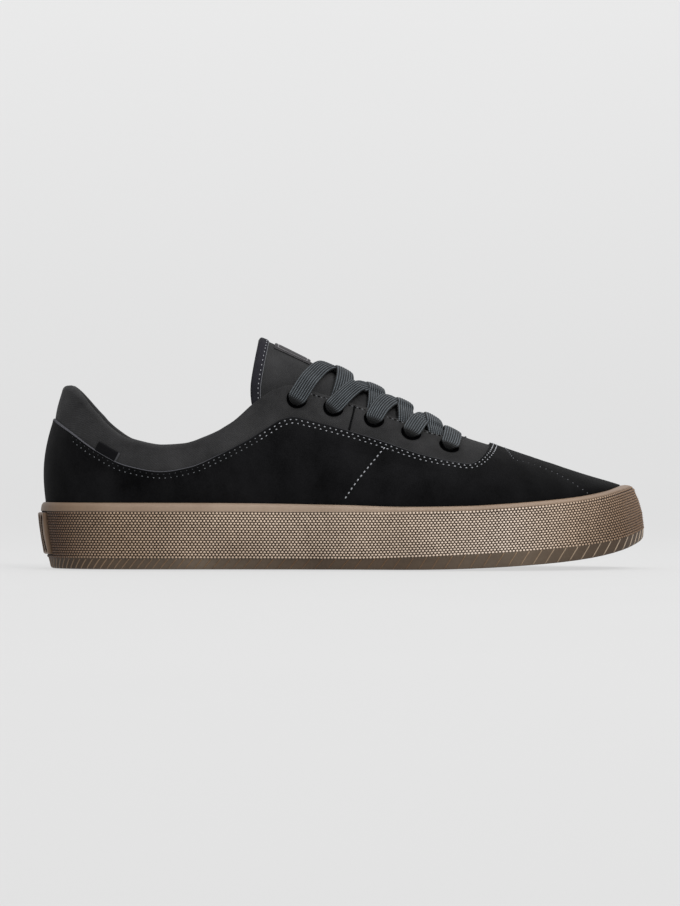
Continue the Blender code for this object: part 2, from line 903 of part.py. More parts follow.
def build_eyelet_cutter():
    mesh = bmesh.new()
    places = eyelet_places()
    corners = 10
    reach = wall_thickness * 2.2
    for side in ("outer", "inner"):
        for point, normal in places[side]:
            across = normal.orthogonal().normalized()
            other = normal.cross(across)
            rings = []
            for depth in (-reach, reach / 2):
                ring = []
                for k in range(corners):
                    turn = 2 * math.pi * k / corners
                    spoke = across * math.cos(turn) + other * math.sin(turn)
                    ring.append(mesh.verts.new(point + normal * depth + spoke * eyelet_radius))
                rings.append(ring)
            loft(mesh, rings)
            mesh.faces.new(rings[0][::-1])
            mesh.faces.new(rings[1])
    return add_cutter("eyelet_cutter", mesh)


def arch_frame(x, y, depth):
    """Point and normal at plan place (x, y) above the ridge line, depth below the outer surface."""
    side = "outer" if y < spine_y(x) else "inner"
    share = min(abs(y - spine_y(x)) / half_width(x, side), 0.97)
    point, normal = surface_frame(x, angle_of_width(share, x), side)
    if share < 0.02:
        left, _ = surface_frame(x + 1e-3, math.pi / 2 - 1e-4, side)
        slope = (left - point).normalized()
        normal = Vector((-slope.z, 0, slope.x)).normalized()
    return point + normal * depth, normal


def tongue_point(along, across, depth):
    """A point of the tongue: along runs from its toe end to its free end, across from -1 to 1."""
    share = tongue_toe_share + (tongue_top_share - tongue_toe_share) * along
    x = heel_x + share * sole_length
    # The free end stands square to the instep's slope, so its sides lie further back than its middle.
    fall = min(abs(across) * 1.3, 1.0) ** 2
    x -= tongue_lean * (1 - (1 - fall) ** 2) * ease(along) ** 2
    # The corners are rounded off.
    x += tongue_corner * max(abs(across) - 0.55, 0.0) ** 2 * ease(along) ** 2
    wide = tongue_share(share_of(x)) * sole_width / 2 * math.sin(across * math.pi / 2 * 0.98)
    return arch_frame(x, spine_y(x) + wide, depth)[0]


def tongue_depths(along, across):
    """How deep the tongue's outer and inner faces lie under the upper's outer surface."""
    outside = wall_thickness + tongue_clearance
    padded = ease(min(1 - abs(across), 0.35) / 0.35) * ease(min(along, 1 - along) / 0.06 + 0.25)
    thick = tongue_edge_thickness + (tongue_thickness - tongue_edge_thickness) * padded
    return outside, outside + thick


def build_tongue():
    mesh = bmesh.new()
    columns, rows = 12, 14
    grids = {0: [], 1: []}
    for j in range(rows + 1):
        along = j / rows
        for face in (0, 1):
            line = []
            for i in range(columns + 1):
                across = 2 * i / columns - 1
                depth = tongue_depths(along, across)[face]
                line.append(mesh.verts.new(tongue_point(along, across, -depth)))
            grids[face].append(line)
    for face in (0, 1):
        grid = grids[face]
        for low, high in zip(grid, grid[1:]):
            for i in range(columns):
                mesh.faces.new([low[i], low[i + 1], high[i + 1], high[i]])
    borders = []
    for face in (0, 1):
        grid = grids[face]
        border = grid[0] + [line[-1] for line in grid[1:]] + grid[-1][-2::-1]
        borders.append(border + [line[0] for line in grid[-2:0:-1]])
    loft(mesh, borders)
    return add_object("tongue", mesh, (0.045, 0.045, 0.047), 0.88)


def patch(name, corner_points, colour, rough):
    """A thin closed plate between two equal grids of points."""
    mesh = bmesh.new()
    grids = [[[mesh.verts.new(p) for p in row] for row in grid] for grid in corner_points]
    for grid in grids:
        for low, high in zip(grid, grid[1:]):
            for i in range(len(low) - 1):
                mesh.faces.new([low[i], low[i + 1], high[i + 1], high[i]])
    borders = []
    for grid in grids:
        border = grid[0] + [row[-1] for row in grid[1:]] + grid[-1][-2::-1]
        borders.append(border + [row[0] for row in grid[-2:0:-1]])
    loft(mesh, borders)
    return add_object(name, mesh, colour, rough)


def build_tongue_label():
    """A plain woven label on the tongue's face, between its free end and the first lace."""
    length_share = tongue_label_length / (sole_length * (tongue_toe_share - tongue_top_share))
    start = 0.955
    grids = []
    for lift in (gap, gap + label_thickness):
        grid = []
        for k in range(5):
            along = start - length_share * k / 4
            row = []
            for i in range(7):
                across = (2 * i / 6 - 1) * tongue_label_width / 2 / (0.585 * sole_width / 2) * 0.66
                depth = tongue_depths(along, across)[0] - lift
                row.append(tongue_point(along, across, -depth))
            grid.append(row)
        grids.append(grid)
    return patch("tongue_label", grids, (0.10, 0.095, 0.10), 0.85)


def build_side_tag():
    """A small blank woven flag, sewn into the seam on the collar's outer side."""
    side = "outer"
    grids = []
    start = heel_x + 0.094 * sole_length
    for lift in (gap, gap + label_thickness):
        grid = []
        for k in range(3):
            row = []
            for i in range(5):
                x = start + side_tag_length * 0.84 * i / 4
                seam = collar_height * suede_share(share_of(x)) + gap
                height = seam + side_tag_width * k / 2
                spine = max(x, heel_x + heel_fan_share * sole_length)
                foot = collar_foot(x, height, side)
                low = rim_height(foot[0])
                theta = angle_of_height((height - low) / (ridge_height(spine) - low), spine)
                point, normal = fan_frame(foot, side, theta)
                row.append(point + normal * (lift - suede_thickness))
            grid.append(row)
        grids.append(grid)
    return patch("side_tag", grids, (0.02, 0.02, 0.022), 0.8)


def collar_foot(x, height, side):
    """The feather point whose meridian passes x at this height."""
    points = feather[side]
    heel_fan = heel_x + heel_fan_share * sole_length
    spine = max(x, heel_fan)
    low_share, high_share = 0.0, 0.5
    for _ in range(30):
        middle = (low_share + high_share) / 2
        foot = resample(points, [middle])[0]
        low = rim_height(foot[0])
        theta = angle_of_height((height - low) / (ridge_height(spine) - low), spine)
        if last_point(foot, side, theta)[0] < x:
            low_share = middle
        else:
            high_share = middle
    return foot


def fan_frame(foot, side, theta):
    """Point and outward normal on a meridian, also where the meridians fan round the heel."""
    points = feather[side]
    index = int(np.argmin(np.linalg.norm(points - foot, axis=1)))
    ahead_foot = points[min(index + 3, len(points) - 1)]
    back_foot = points[max(index - 3, 0)]
    here = last_point(foot, side, theta)
    along = last_point(ahead_foot, side, theta) - last_point(back_foot, side, theta)
    rise = last_point(foot, side, theta + 1e-3) - last_point(foot, side, theta - 1e-3)
    normal = along.cross(rise).normalized()
    return here, -normal if side == "inner" else normal


def throat_half_width(x, side):
    """Half the opening between the eyestays."""
    wide, _ = section(edge_angle(foot_of(x, side), side), x)
    return wide * half_width(x, side)


def lace_height(x, y):
    """Height of a lace's middle over the upper's outer surface: over the eyestay, or down on the tongue."""
    side = "outer" if y < spine_y(x) else "inner"
    inside = throat_half_width(x, side) - abs(y - spine_y(x))
    over_eyestay = -suede_thickness + gap * 2 + lace_thickness / 2
    over_tongue = -wall_thickness - tongue_clearance + gap * 2 + lace_thickness / 2
    return over_eyestay + (over_tongue - over_eyestay) * ease((inside - lace_edge_run) / lace_dip)


def taut_place(start, end, bow, t):
    """Plan place on a lace between two eyelets. The shortest way over the instep bows to the toe."""
    back_x, front_x = (heel_x + share * sole_length for share in (0.43, 0.63))
    slope = (ridge_height(front_x) - ridge_height(back_x)) / (front_x - back_x)
    wide = 0.5 - 0.5 * math.sin(math.pi * (0.5 - t) * lace_wrap) / math.sin(math.pi * lace_wrap / 2)
    y = start[1] + (end[1] - start[1]) * wide
    along = (start[0] + slope * start[2]) * (1 - t) + (end[0] + slope * end[2]) * t
    straight_x = start[0] + (end[0] - start[0]) * t
    x = straight_x
    for _ in range(8):
        x = along - slope * arch_frame(x, y, 0.0)[0].z
    return straight_x + (x - straight_x) * bow, y


def lace_end(start, end, bow, limit_x):
    """How far a lace runs before it would dip under the far eyestay or the bar."""
    t = 1.0
    while t > 0.5:
        x, y = taut_place(start, end, bow, t)
        side = "outer" if y < spine_y(x) else "inner"
        inside = throat_half_width(x, side) - abs(y - spine_y(x))
        if inside > lace_end_inset and x < limit_x:
            break
        t -= 0.01
    return t


def lace_band(start, end, bow, lift, end_share):
    """A flat lace from one eyelet towards another, as far as end_share of the way."""
    mesh = bmesh.new()
    count = 12
    path = []
    for k in range(count):
        t = k / (count - 1) * end_share
        x, y = taut_place(start, end, bow, t)
        path.append(arch_frame(x, y, lace_height(x, y) + lift * math.sin(math.pi * t) ** 2))
    rings = []
    for k, (point, normal) in enumerate(path):
        tangent = path[min(k + 1, count - 1)][0] - path[max(k - 1, 0)][0]
        across = tangent.cross(normal).normalized()
        upright = across.cross(tangent).normalized() * lace_thickness / 2
        from_end = (point - path[0][0]).length
        if end_share == 1:
            from_end = min(from_end, (point - path[-1][0]).length)
        across *= lace_width / 2 * (lace_pinch + (1 - lace_pinch) * ease(from_end / lace_width))
        shape = ((-1, 0), (-0.8, -1), (0.8, -1), (1, 0), (0.8, 1), (-0.8, 1))
        rings.append([mesh.verts.new(point + across * a + upright * b) for a, b in shape])
    loft(mesh, rings)
    mesh.faces.new(rings[0][::-1])
    mesh.faces.new(rings[-1])
    return mesh


def build_laces():
    """Each crossing is one solid: two flat bands that meet above the tongue. The lowest is a straight bar."""
    places = eyelet_places()
    outer = [point for point, _ in places["outer"]]
    inner = [point for point, _ in places["inner"]]
    bar_bow = eyelet_rows[-1][2]
    limit_x = taut_place(outer[-1], inner[-1], bar_bow, 0.5)[0] - lace_width - gap
    for i, (_, _, bow) in enumerate(eyelet_rows[:-1]):
        under_end = lace_end(outer[i], inner[i + 1], bow, limit_x)
        over_end = lace_end(inner[i], outer[i + 1], bow, limit_x)
        under = lace_band(outer[i], inner[i + 1], bow, 0.0, under_end)
        over = lace_band(inner[i], outer[i + 1], bow, lace_thickness * lace_cross_lift, over_end)
        crossing = add_object(f"lace_crossing_{i + 1}", under, (0.05, 0.055, 0.06), 0.8)
        boolean(crossing, add_cutter(f"lace_over_{i + 1}", over), "UNION")
    bar = lace_band(outer[-1], inner[-1], bar_bow, lace_thickness * lace_bar_lift, 1.0)
    add_object("lace_bar", bar, (0.05, 0.055, 0.06), 0.8)


def clear_scene():
    for obj in list(bpy.data.objects):
        bpy.data.objects.remove(obj)


def main():
    clear_scene()
    build_sole()
    build_heel_plate()
    build_insole()
    build_upper()
    build_tongue()
    build_tongue_label()
    build_side_tag()
    build_laces()


main()
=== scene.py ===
"""Skateboarding shoe for the right foot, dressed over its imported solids: suede, textile, laces, rubber.

Metres. +X points to the toe, -Y to the outer (lateral) side, +Z up. The form functions and tables follow
the part's, so that each soft piece lies where its solid is. The collar's heel is a little fuller here, and
the heel plate a little wider."""

import math
import random

import bmesh
import bpy
import numpy as np
from mathutils import Matrix, Vector
from mathutils.bvhtree import BVHTree


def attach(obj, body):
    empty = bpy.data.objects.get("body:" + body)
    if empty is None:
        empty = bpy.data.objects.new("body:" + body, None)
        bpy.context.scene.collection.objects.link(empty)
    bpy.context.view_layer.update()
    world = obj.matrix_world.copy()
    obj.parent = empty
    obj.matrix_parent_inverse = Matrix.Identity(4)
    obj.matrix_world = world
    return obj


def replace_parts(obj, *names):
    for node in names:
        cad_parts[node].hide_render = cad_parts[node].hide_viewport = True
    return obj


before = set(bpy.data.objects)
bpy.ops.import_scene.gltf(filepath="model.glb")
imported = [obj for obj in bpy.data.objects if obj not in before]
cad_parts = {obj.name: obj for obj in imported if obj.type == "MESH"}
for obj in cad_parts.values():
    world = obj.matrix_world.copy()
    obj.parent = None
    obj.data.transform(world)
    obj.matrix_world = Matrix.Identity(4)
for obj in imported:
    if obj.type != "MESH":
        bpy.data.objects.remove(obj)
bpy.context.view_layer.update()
random.seed(7)

# Sizes of the sole
sole_length = 0.298
sole_width = 0.108
sidewall_height = 0.0324
toe_spring = 0.008
spring_start_share = 0.596
toe_roll = 0.0061
rim_width = 0.0030
heel_rim_width = 0.0020
toe_rim_width = 0.0112
heel_floor_height = 0.016
forefoot_floor_height = 0.009
spine_settle = 0.03
plate_thickness = 0.0021
plate_width = 0.032
plate_low = 0.0070
plate_high = 0.0274
plate_frame = 0.0022
plate_slot_depth = 0.0019
plate_slot_width = 0.0023
plate_slots = 7
plate_side_margin = 0.0006
plate_end_margin = 0.0008

# Sizes of the upper
collar_height = 0.0896
instep_height = 0.1055
suede_thickness = 0.0012
wall_thickness = 0.0024
collar_thickness = 0.0068
collar_pad_depth = 0.022
heel_fan_share = 0.144
toe_fan_share = 0.832
throat_end_share = 0.7005
throat_bend_share = 0.632
suede_front_share = 0.7445
suede_bend_share = 0.698
overhang_top = 0.40

# Sizes of the soft pieces inside and on top
insole_thickness = 0.0048
tongue_thickness = 0.0042
tongue_edge_thickness = 0.0022
tongue_clearance = 0.0007
tongue_toe_share = 0.712
tongue_top_share = 0.366
tongue_lean = 0.0058
tongue_corner = 0.046
tongue_run = 0.118
tongue_half = 0.031
tongue_turn = 0.98 * math.pi / 2
lace_width = 0.0090
lace_thickness = 0.0018
lace_dip = 0.006
lace_wrap = 0.80
lace_tip = 0.0024
lace_fold = 0.0052
lace_slack = 0.0010
lace_duck = 0.0012
lace_duck_run = 0.0045
lace_twist = math.radians(2.5)
lace_bar_twist = math.radians(2)
lace_hidden_run = 0.003
lace_curl = 0.0020
lace_ring_radius = 0.0052
lace_ring_shift = 0.0016
lace_rib_height = 0.00013
lace_arch = 0.00030
lace_edge_run = 0.001
label_thickness = 0.0007
label_start = 0.925
label_narrowing = 0.66
side_tag_length = 0.0112
side_tag_width = 0.0036
side_tag_start_share = 0.0945
side_tag_end_share = 0.1295
tongue_label_length = 0.0175
tongue_label_width = 0.0160
gap = 0.0003
weld_distance = 0.00001

# Sizes of the sidewall's skin, the stitches, the creases and the pressed places
sidewall_cover = 0.00015
tread_lip = 1.04
pebble_pitch = 0.00172
pebble_row_pitch = 0.00126
pebble_height = 0.00062
rib_pitch = 0.0064
heel_rib_pitch = 0.0038
rib_lean = 0.0040
rib_radius = 0.00032
stitch_radius = 0.00036
stitch_wobble = 0.00005
edge_stitch_pitch = 0.00285
seam_stitch_pitch = 0.0026
toe_cap_stitch_pitch = 0.0030
tongue_stitch_pitch = 0.00235
eyestay_stitch_x = -0.019
tape_edge_radius = 0.00016
suede_tuck = 0.0025
suede_tuck_in = 0.0004
cut_edge_heel_x = -0.052
lace_ribs = 8
binding_width = 0.0054
binding_share = binding_width / tongue_run
binding_rise = 0.0007
toe_cap_crown = 0.0042
crease_fade_run = 0.012
collar_puff = 0.0003
collar_puff_run = 0.020
quarter_seam_sink = 0.00035
quarter_seam_spread = 0.0011
toe_cap_sink = 0.00012
toe_cap_spread = 0.0010
eyelet_sink = 0.0010
eyelet_spread = 0.0046
eyelet_ring_rise = 0.00022
eyelet_ring_reach = 0.0068
eyestay_seam_sink = 0.00060
eyestay_seam_spread = 0.0009

# Sizes of the studio
floor_bend = 0.9
floor_drop = 0.0004

heel_x = -(sole_length - plate_thickness) / 2
heel_fan = heel_x + heel_fan_share * sole_length
toe_fan = heel_x + toe_fan_share * sole_length

# Columns: share of the sole's length from the heel, share of its half width. The outer side first, then
# the toe's tip, then the inner side back to the heel.
outline_rows = [
    (0.000, 0.00),
    (0.014, -0.32),
    (0.050, -0.56),
    (0.105, -0.69),
    (0.180, -0.735),
    (0.295, -0.745),
    (0.396, -0.765),
    (0.497, -0.83),
    (0.590, -0.925),
    (0.665, -0.99),
    (0.725, -0.99),
    (0.800, -0.915),
    (0.865, -0.795),
    (0.925, -0.62),
    (0.971, -0.37),
    (1.000, 0.11),
    (0.988, 0.45),
    (0.954, 0.695),
    (0.895, 0.875),
    (0.820, 0.975),
    (0.750, 1.00),
    (0.670, 0.925),
    (0.590, 0.81),
    (0.500, 0.71),
    (0.400, 0.675),
    (0.290, 0.70),
    (0.180, 0.72),
    (0.105, 0.67),
    (0.050, 0.54),
    (0.014, 0.31),
]

# Columns: share of the sidewall's height, inset in shares of the rim's width at the sides, at the heel
# (shares of the heel rim's width) and at the toe (shares of the toe rim's width).
sidewall_rows = [
    (0.000, 1.30, 2.90, 0.10),
    (0.030, 1.08, 2.55, 0.02),
    (0.160, 0.82, 2.05, 0.00),
    (0.175, 0.68, 1.85, 0.00),
    (0.450, 0.20, 1.05, 0.08),
    (0.680, 0.02, 0.50, 0.24),
    (0.862, 0.12, 0.24, 0.43),
    (0.872, 0.02, 0.10, 0.42),
    (0.955, 0.24, 0.30, 0.60),
    (0.990, 0.58, 0.64, 0.82),
    (1.000, 1.00, 1.00, 1.00),
]

# Columns: share of length, height of the sidewall's top in shares of sidewall_height.
rim_rows = [
    (0.000, 1.004),
    (0.295, 0.998),
    (0.497, 0.970),
    (0.600, 0.944),
    (0.700, 0.957),
    (0.765, 0.990),
    (0.830, 1.036),
    (0.885, 1.090),
    (0.930, 1.165),
    (0.962, 1.250),
    (1.000, 1.350),
]

# Columns: share of length, share of the sidewall's height where the smooth top band starts.
band_rows = [
    (0.000, 0.866),
    (0.350, 0.868),
    (0.500, 0.890),
    (0.620, 0.922),
    (0.800, 0.928),
    (1.000, 0.936),
]

# Columns: share of length, share of the sidewall's height where the tread band ends.
tread_rows = [
    (0.000, 0.166),
    (0.500, 0.170),
    (0.620, 0.204),
    (0.720, 0.230),
    (0.820, 0.232),
    (0.900, 0.216),
    (0.960, 0.190),
    (1.000, 0.176),
]

# Columns: share of length, height of the upper's ridge in shares of instep_height. Behind the throat it is
# where the sides would meet if the shoe were closed.
ridge_rows = [
    (0.144, 1.240),
    (0.290, 1.172),
    (0.369, 1.100),
    (0.450, 0.992),
    (0.530, 0.879),
    (0.614, 0.753),
    (0.671, 0.667),
    (0.705, 0.622),
    (0.748, 0.583),
    (0.815, 0.519),
    (0.898, 0.442),
    (0.962, 0.388),
    (1.000, 0.350),
]

# Columns: share of length, roundness of the section (2 is an ellipse, less is a tent), overhang of the
# sides in shares of the half width.
section_rows = [
    (0.144, 2.00, 0.040),
    (0.300, 1.95, 0.040),
    (0.420, 1.85, 0.030),
    (0.560, 1.75, 0.022),
    (0.680, 1.80, 0.012),
    (0.780, 2.05, 0.000),
    (1.000, 2.20, 0.000),
]

# Columns: share of length, height of the collar's and eyestay's edge in shares of collar_height.
edge_rows = [
    (0.040, 1.010),
    (0.049, 0.990),
    (0.068, 0.934),
    (0.090, 0.862),
    (0.123, 0.765),
    (0.150, 0.712),
    (0.203, 0.680),
    (0.240, 0.688),
    (0.275, 0.729),
    (0.317, 0.803),
    (0.359, 0.925),
    (0.390, 0.992),
    (0.420, 1.016),
    (0.456, 0.978),
    (0.521, 0.915),
    (0.587, 0.844),
    (0.640, 0.775),
]

# Columns: share of length, height of the suede's upper edge in shares of collar_height.
suede_rows = [
    (0.021, 0.824),
    (0.051, 0.757),
    (0.098, 0.646),
    (0.145, 0.568),
    (0.203, 0.534),
    (0.249, 0.558),
    (0.296, 0.624),
    (0.347, 0.711),
    (0.383, 0.787),
    (0.402, 0.822),
    (0.420, 0.833),
    (0.441, 0.818),
    (0.511, 0.756),
    (0.569, 0.696),
    (0.622, 0.635),
    (0.657, 0.605),
    (0.700, 0.578),
]

# Columns: share of length, height of the eyelet in shares of collar_height, share of length where the lace
# that starts there crosses the ridge, from the outer and from the inner side, how much of the outer one's
# run to the toe goes on at the ridge. From the ankle to the toe.
eyelet_rows = [
    (0.4235, 0.925, 0.4797, 0.5012, 0.85),
    (0.4830, 0.880, 0.5480, 0.5535, 0.85),
    (0.5510, 0.818, 0.5925, 0.6020, 1.15),
    (0.6120, 0.748, 0.6440, 0.6480, 1.15),
    (0.6750, 0.678, 0.6820, 0.6820, 0.00),
]

# Columns: share of length, half width of the tongue in shares of the sole's half width.
tongue_rows = [
    (0.30, 0.585),
    (0.42, 0.580),
    (0.55, 0.540),
    (0.72, 0.440),
]

# Columns: x and height of the stitches that join vamp and quarter, from the top down.
quarter_seam_rows = [
    (0.0217, 0.0597),
    (0.0182, 0.0555),
    (0.0148, 0.0514),
    (0.0113, 0.0472),
    (0.0061, 0.0404),
    (0.0015, 0.0333),
]

# Columns: x and height of the toe cap's stitches on one side, from the sole up.
toe_cap_rows = [
    (0.1207, 0.0372),
    (0.1161, 0.0404),
    (0.1086, 0.0453),
    (0.1017, 0.0485),
    (0.0918, 0.0520),
    (0.0854, 0.0536),
]

# Columns: x on the middle line, how far it leans to the toe per metre outwards, depth, half width.
crease_rows = [
    (0.0880, -0.25, 0.00022, 0.0040),
    (0.0985, -0.40, 0.00016, 0.0036),
    (0.0640, 0.55, 0.00022, 0.0040),
]

# Columns: x and height of the short seam in the eyestay's textile.
eyestay_seam_rows = [
    (0.0073, 0.0805),
    (0.0064, 0.0765),
    (0.0052, 0.0720),
    (0.0043, 0.0684),
]

# Columns: distance below the suede's edge, depth under its face.
cut_edge_rows = [
    (0.00050, 0.00000),
    (0.00030, 0.00006),
    (0.00010, 0.00020),
    (0.00000, 0.00050),
    (0.00004, 0.00095),
    (0.00012, 0.00150),
]

# Columns: how far in from the footbed's edge, height in shares of its thickness.
footbed_rows = [
    (0.0018, 0.00),
    (0.0003, 0.20),
    (0.0000, 0.60),
    (0.0001, 1.05),
    (0.0006, 1.22),
    (0.0016, 1.24),
    (0.0036, 1.14),
    (0.0065, 1.04),
    (0.0100, 1.00),
    (0.0150, 0.98),
    (0.0210, 0.97),
]

# Columns: share of the smooth top band's height, how far it stands out.
rim_skin_rows = [
    (0.00, 0.00008),
    (0.05, 0.00012),
    (0.12, 0.00016),
    (0.22, 0.00019),
    (0.34, 0.00020),
    (0.48, 0.00020),
    (0.66, 0.00017),
    (0.80, 0.00012),
    (0.92, 0.00006),
    (1.00, 0.00000),
]

# Columns: distance below the suede's edge, start along it, material on the heel's side (1 grey, 2 dim). On
# these rows the grey and dim threads are the pale thread with painted shade towards the heel.
edge_stitch_rows = [
    (0.0016, 0.0000, 2),
    (0.0034, 0.0014, 1),
]

# Columns: x where these stitches end, x where they start, length, share of stitch_radius, how far they
# stand out, material (None is the row's own). The darker materials towards the heel are painted shade.
edge_stitch_zones = [
    (-0.0400, 1.0000, 0.0011, 0.80, 0.00008, 0),
    (-0.0680, -0.0400, 0.0010, 0.76, 0.00005, 1),
    (-0.1318, -0.0680, 0.0009, 0.72, 0.00002, None),
]

# Columns: share of length, brightness of the pebbled band. The brightness is painted light and shade: dark
# at the heel and toe ends, brightest in the forefoot.
pebble_light_rows = [
    (0.000, 0.09),
    (0.035, 0.16),
    (0.134, 0.58),
    (0.267, 0.74),
    (0.433, 0.84),
    (0.600, 0.84),
    (0.765, 1.00),
    (0.881, 0.68),
    (0.963, 0.34),
    (1.000, 0.24),
]

# Columns: share of length, brightness of the smooth top band, painted light and shade.
band_light_rows = [
    (0.000, 0.42),
    (0.035, 0.58),
    (0.134, 0.80),
    (0.433, 0.94),
    (0.600, 0.90),
    (0.765, 0.76),
    (0.881, 0.74),
    (1.000, 0.55),
]

# Columns: share of length, brightness of the tread band, painted light and shade.
tread_light_rows = [
    (0.000, 0.16),
    (0.050, 0.36),
    (0.134, 0.65),
    (0.267, 0.96),
    (0.433, 0.62),
    (0.600, 0.60),
    (0.765, 0.94),
    (0.881, 0.72),
    (1.000, 0.42),
]

# Columns: share of length, brightness of the ribs on the tread band, painted light: a highlight that grows
# towards the toe.
rib_light_rows = [
    (0.000, 0.44),
    (0.100, 0.50),
    (0.433, 0.27),
    (0.600, 0.28),
    (0.765, 0.46),
    (0.881, 0.80),
    (1.000, 1.00),
]

# Columns: share of length, brightness of the suede's cut edge.
edge_tone_rows = [
    (0.000, 0.085),
    (0.260, 0.080),
    (0.320, 0.022),
    (0.480, 0.016),
    (0.560, 0.050),
    (0.640, 0.040),
    (0.740, 0.075),
]


def curve_through(rows, column=1):
    """A smooth function through a table's first column and another one, level past its ends."""
    xs = np.array([row[0] for row in rows])
    ys = np.array([row[column] for row in rows])
    steps = np.diff(ys) / np.diff(xs)
    slopes = np.zeros(len(xs))
    same_way = steps[:-1] * steps[1:] > 0
    harmonic = 2 * steps[:-1] * steps[1:] / np.where(same_way, steps[:-1] + steps[1:], 1)
    slopes[1:-1] = np.where(same_way, harmonic, 0)
    slopes[0] = steps[0]
    slopes[-1] = steps[-1]

    def value(x):
        x = min(max(x, xs[0]), xs[-1])
        i = min(int(np.searchsorted(xs, x, side="right")) - 1, len(xs) - 2)
        span = xs[i + 1] - xs[i]
        t = (x - xs[i]) / span
        start = ys[i] * (1 + 2 * t) * (1 - t) ** 2 + slopes[i] * span * t * (1 - t) ** 2
        end = ys[i + 1] * t * t * (3 - 2 * t) - slopes[i + 1] * span * t * t * (1 - t)
        return float(start + end)

    return value


def ease(t):
    """0 to 1 with level ends."""
    t = min(max(t, 0.0), 1.0)
    return t * t * (3 - 2 * t)


def share_of(x):
    return (x - heel_x) / sole_length


rim_share = curve_through(rim_rows)
band_share = curve_through(band_rows)
tread_share = curve_through(tread_rows)
ridge_share = curve_through(ridge_rows)
roundness = curve_through(section_rows, 1)
overhang = curve_through(section_rows, 2)
edge_share = curve_through(edge_rows)
suede_share = curve_through(suede_rows)
tongue_share = curve_through(tongue_rows)


def ground(x):
    """Height of the sole's underside: flat under heel and ball, then the toe spring."""
    t = max(0.0, (share_of(x) - spring_start_share) / (1 - spring_start_share))
    return toe_spring * t**2 + toe_roll * t**8


def rim_height(x):
    return sidewall_height * rim_share(share_of(x))


def cup_floor(x):
    """Height of the floor inside the cup."""
    forward = ease((share_of(x) - 0.25) / 0.40)
    return ground(x) + heel_floor_height + (forefoot_floor_height - heel_floor_height) * forward


def closed_curve(points, steps):
    """A closed Catmull-Rom curve through the points, steps pieces for each."""
    count = len(points)
    made = []
    for i in range(count):
        a, b, c, d = (points[(i + k - 1) % count] for k in range(4))
        for step in range(steps):
            t = step / steps
            made.append(
                0.5 * (2 * b + (c - a) * t + (2 * a - 5 * b + 4 * c - d) * t**2
                       + (3 * b - a - 3 * c + d) * t**3)
            )
    return np.array(made)


def sole_sides():
    """The sole's plan outline as two point rows, outer and inner side, each from the heel to the toe."""
    points = [
        np.array([share * sole_length, width * sole_width / 2]) for share, width in outline_rows
    ]
    dense = closed_curve(points, 24)
    dense[:, 1] -= (dense[:, 1].max() + dense[:, 1].min()) / 2
    dense[:, 1] *= sole_width / (dense[:, 1].max() - dense[:, 1].min())
    dense[:, 0] = heel_x + (dense[:, 0] - dense[:, 0].min()) * sole_length / np.ptp(dense[:, 0])
    dense = np.roll(dense, -int(dense[:, 0].argmin()), axis=0)
    tip = int(dense[:, 0].argmax())
    outer = dense[: tip + 1]
    inner = np.vstack([dense[tip:], dense[:1]])[::-1]
    return outer, inner


def end_weights(x):
    """How much of the heel's and of the toe's inset applies at x."""
    share = share_of(x)
    return ease((0.16 - share) / 0.16), ease((share - 0.80) / 0.20)


def inset_side(points, sign, at_side, at_heel, at_toe):
    """A side's points moved inwards, by amounts that change along the shoe."""
    tangents = np.gradient(points, axis=0)
    tangents /= np.linalg.norm(tangents, axis=1)[:, None]
    # The outline's first and last point turn straight across the shoe.
    tangents[0] = (0, sign)
    tangents[-1] = (0, -sign)
    inward = np.stack([tangents[:, 1], -tangents[:, 0]], axis=1) * sign
    moved = points.copy()
    for i, (x, _) in enumerate(points):
        heel, toe = end_weights(x)
        amount = at_side + (at_heel - at_side) * heel + (at_toe - at_side) * toe
        moved[i] += inward[i] * amount
    return moved


def resample(points, shares):
    """Points at these shares of a side's length."""
    lengths = np.concatenate([[0], np.cumsum(np.linalg.norm(np.diff(points, axis=0), axis=1))])
    wanted = np.array(shares) * lengths[-1]
    return np.stack([np.interp(wanted, lengths, points[:, k]) for k in (0, 1)], axis=1)


outer_outline, inner_outline = sole_sides()
SIDES = {"outer": (outer_outline, -1), "inner": (inner_outline, 1)}


def feather_sides(extra):
    """The plan line where the upper's suede meets the rim, moved in by extra."""
    return {
        name: inset_side(points, sign, rim_width + extra, heel_rim_width + extra, toe_rim_width + extra)
        for name, (points, sign) in SIDES.items()
    }


feather = feather_sides(gap)


def spine_y(x):
    """The middle line of the upper, which bends to the inner side at the toe."""
    low, high = feather["outer"], feather["inner"]
    middle = (np.interp(x, low[:, 0], low[:, 1]) + np.interp(x, high[:, 0], high[:, 1])) / 2
    tip = low[-1]
    settle = ease((tip[0] - x) / spine_settle)
    return float(middle * settle + tip[1] * (1 - settle))


def half_width(x, side):
    """From the middle line to the upper's side, at the rim."""
    points = feather[side]
    return max(abs(float(np.interp(x, points[:, 0], points[:, 1])) - spine_y(x)), 1e-6)


def ridge_height(x):
    return instep_height * ridge_share(share_of(x))


def section(theta, x):
    """Shares of the half width and of the height, at an angle round the section at x."""
    power = roundness(share_of(x))
    wide = max(math.cos(theta), 0.0) ** (2 / power)
    high = max(math.sin(theta), 0.0) ** (2 / power)
    bulge = overhang(share_of(x)) * math.sin(math.pi * min(high / overhang_top, 1.0))
    return wide + bulge, high


def angle_of_height(share, x):
    power = roundness(share_of(x))
    return math.asin(min(max(share, 0.0), 1.0) ** (power / 2))


def angle_of_width(share, x):
    power = roundness(share_of(x))
    return math.acos(min(max(share, 0.0), 1.0) ** (power / 2))


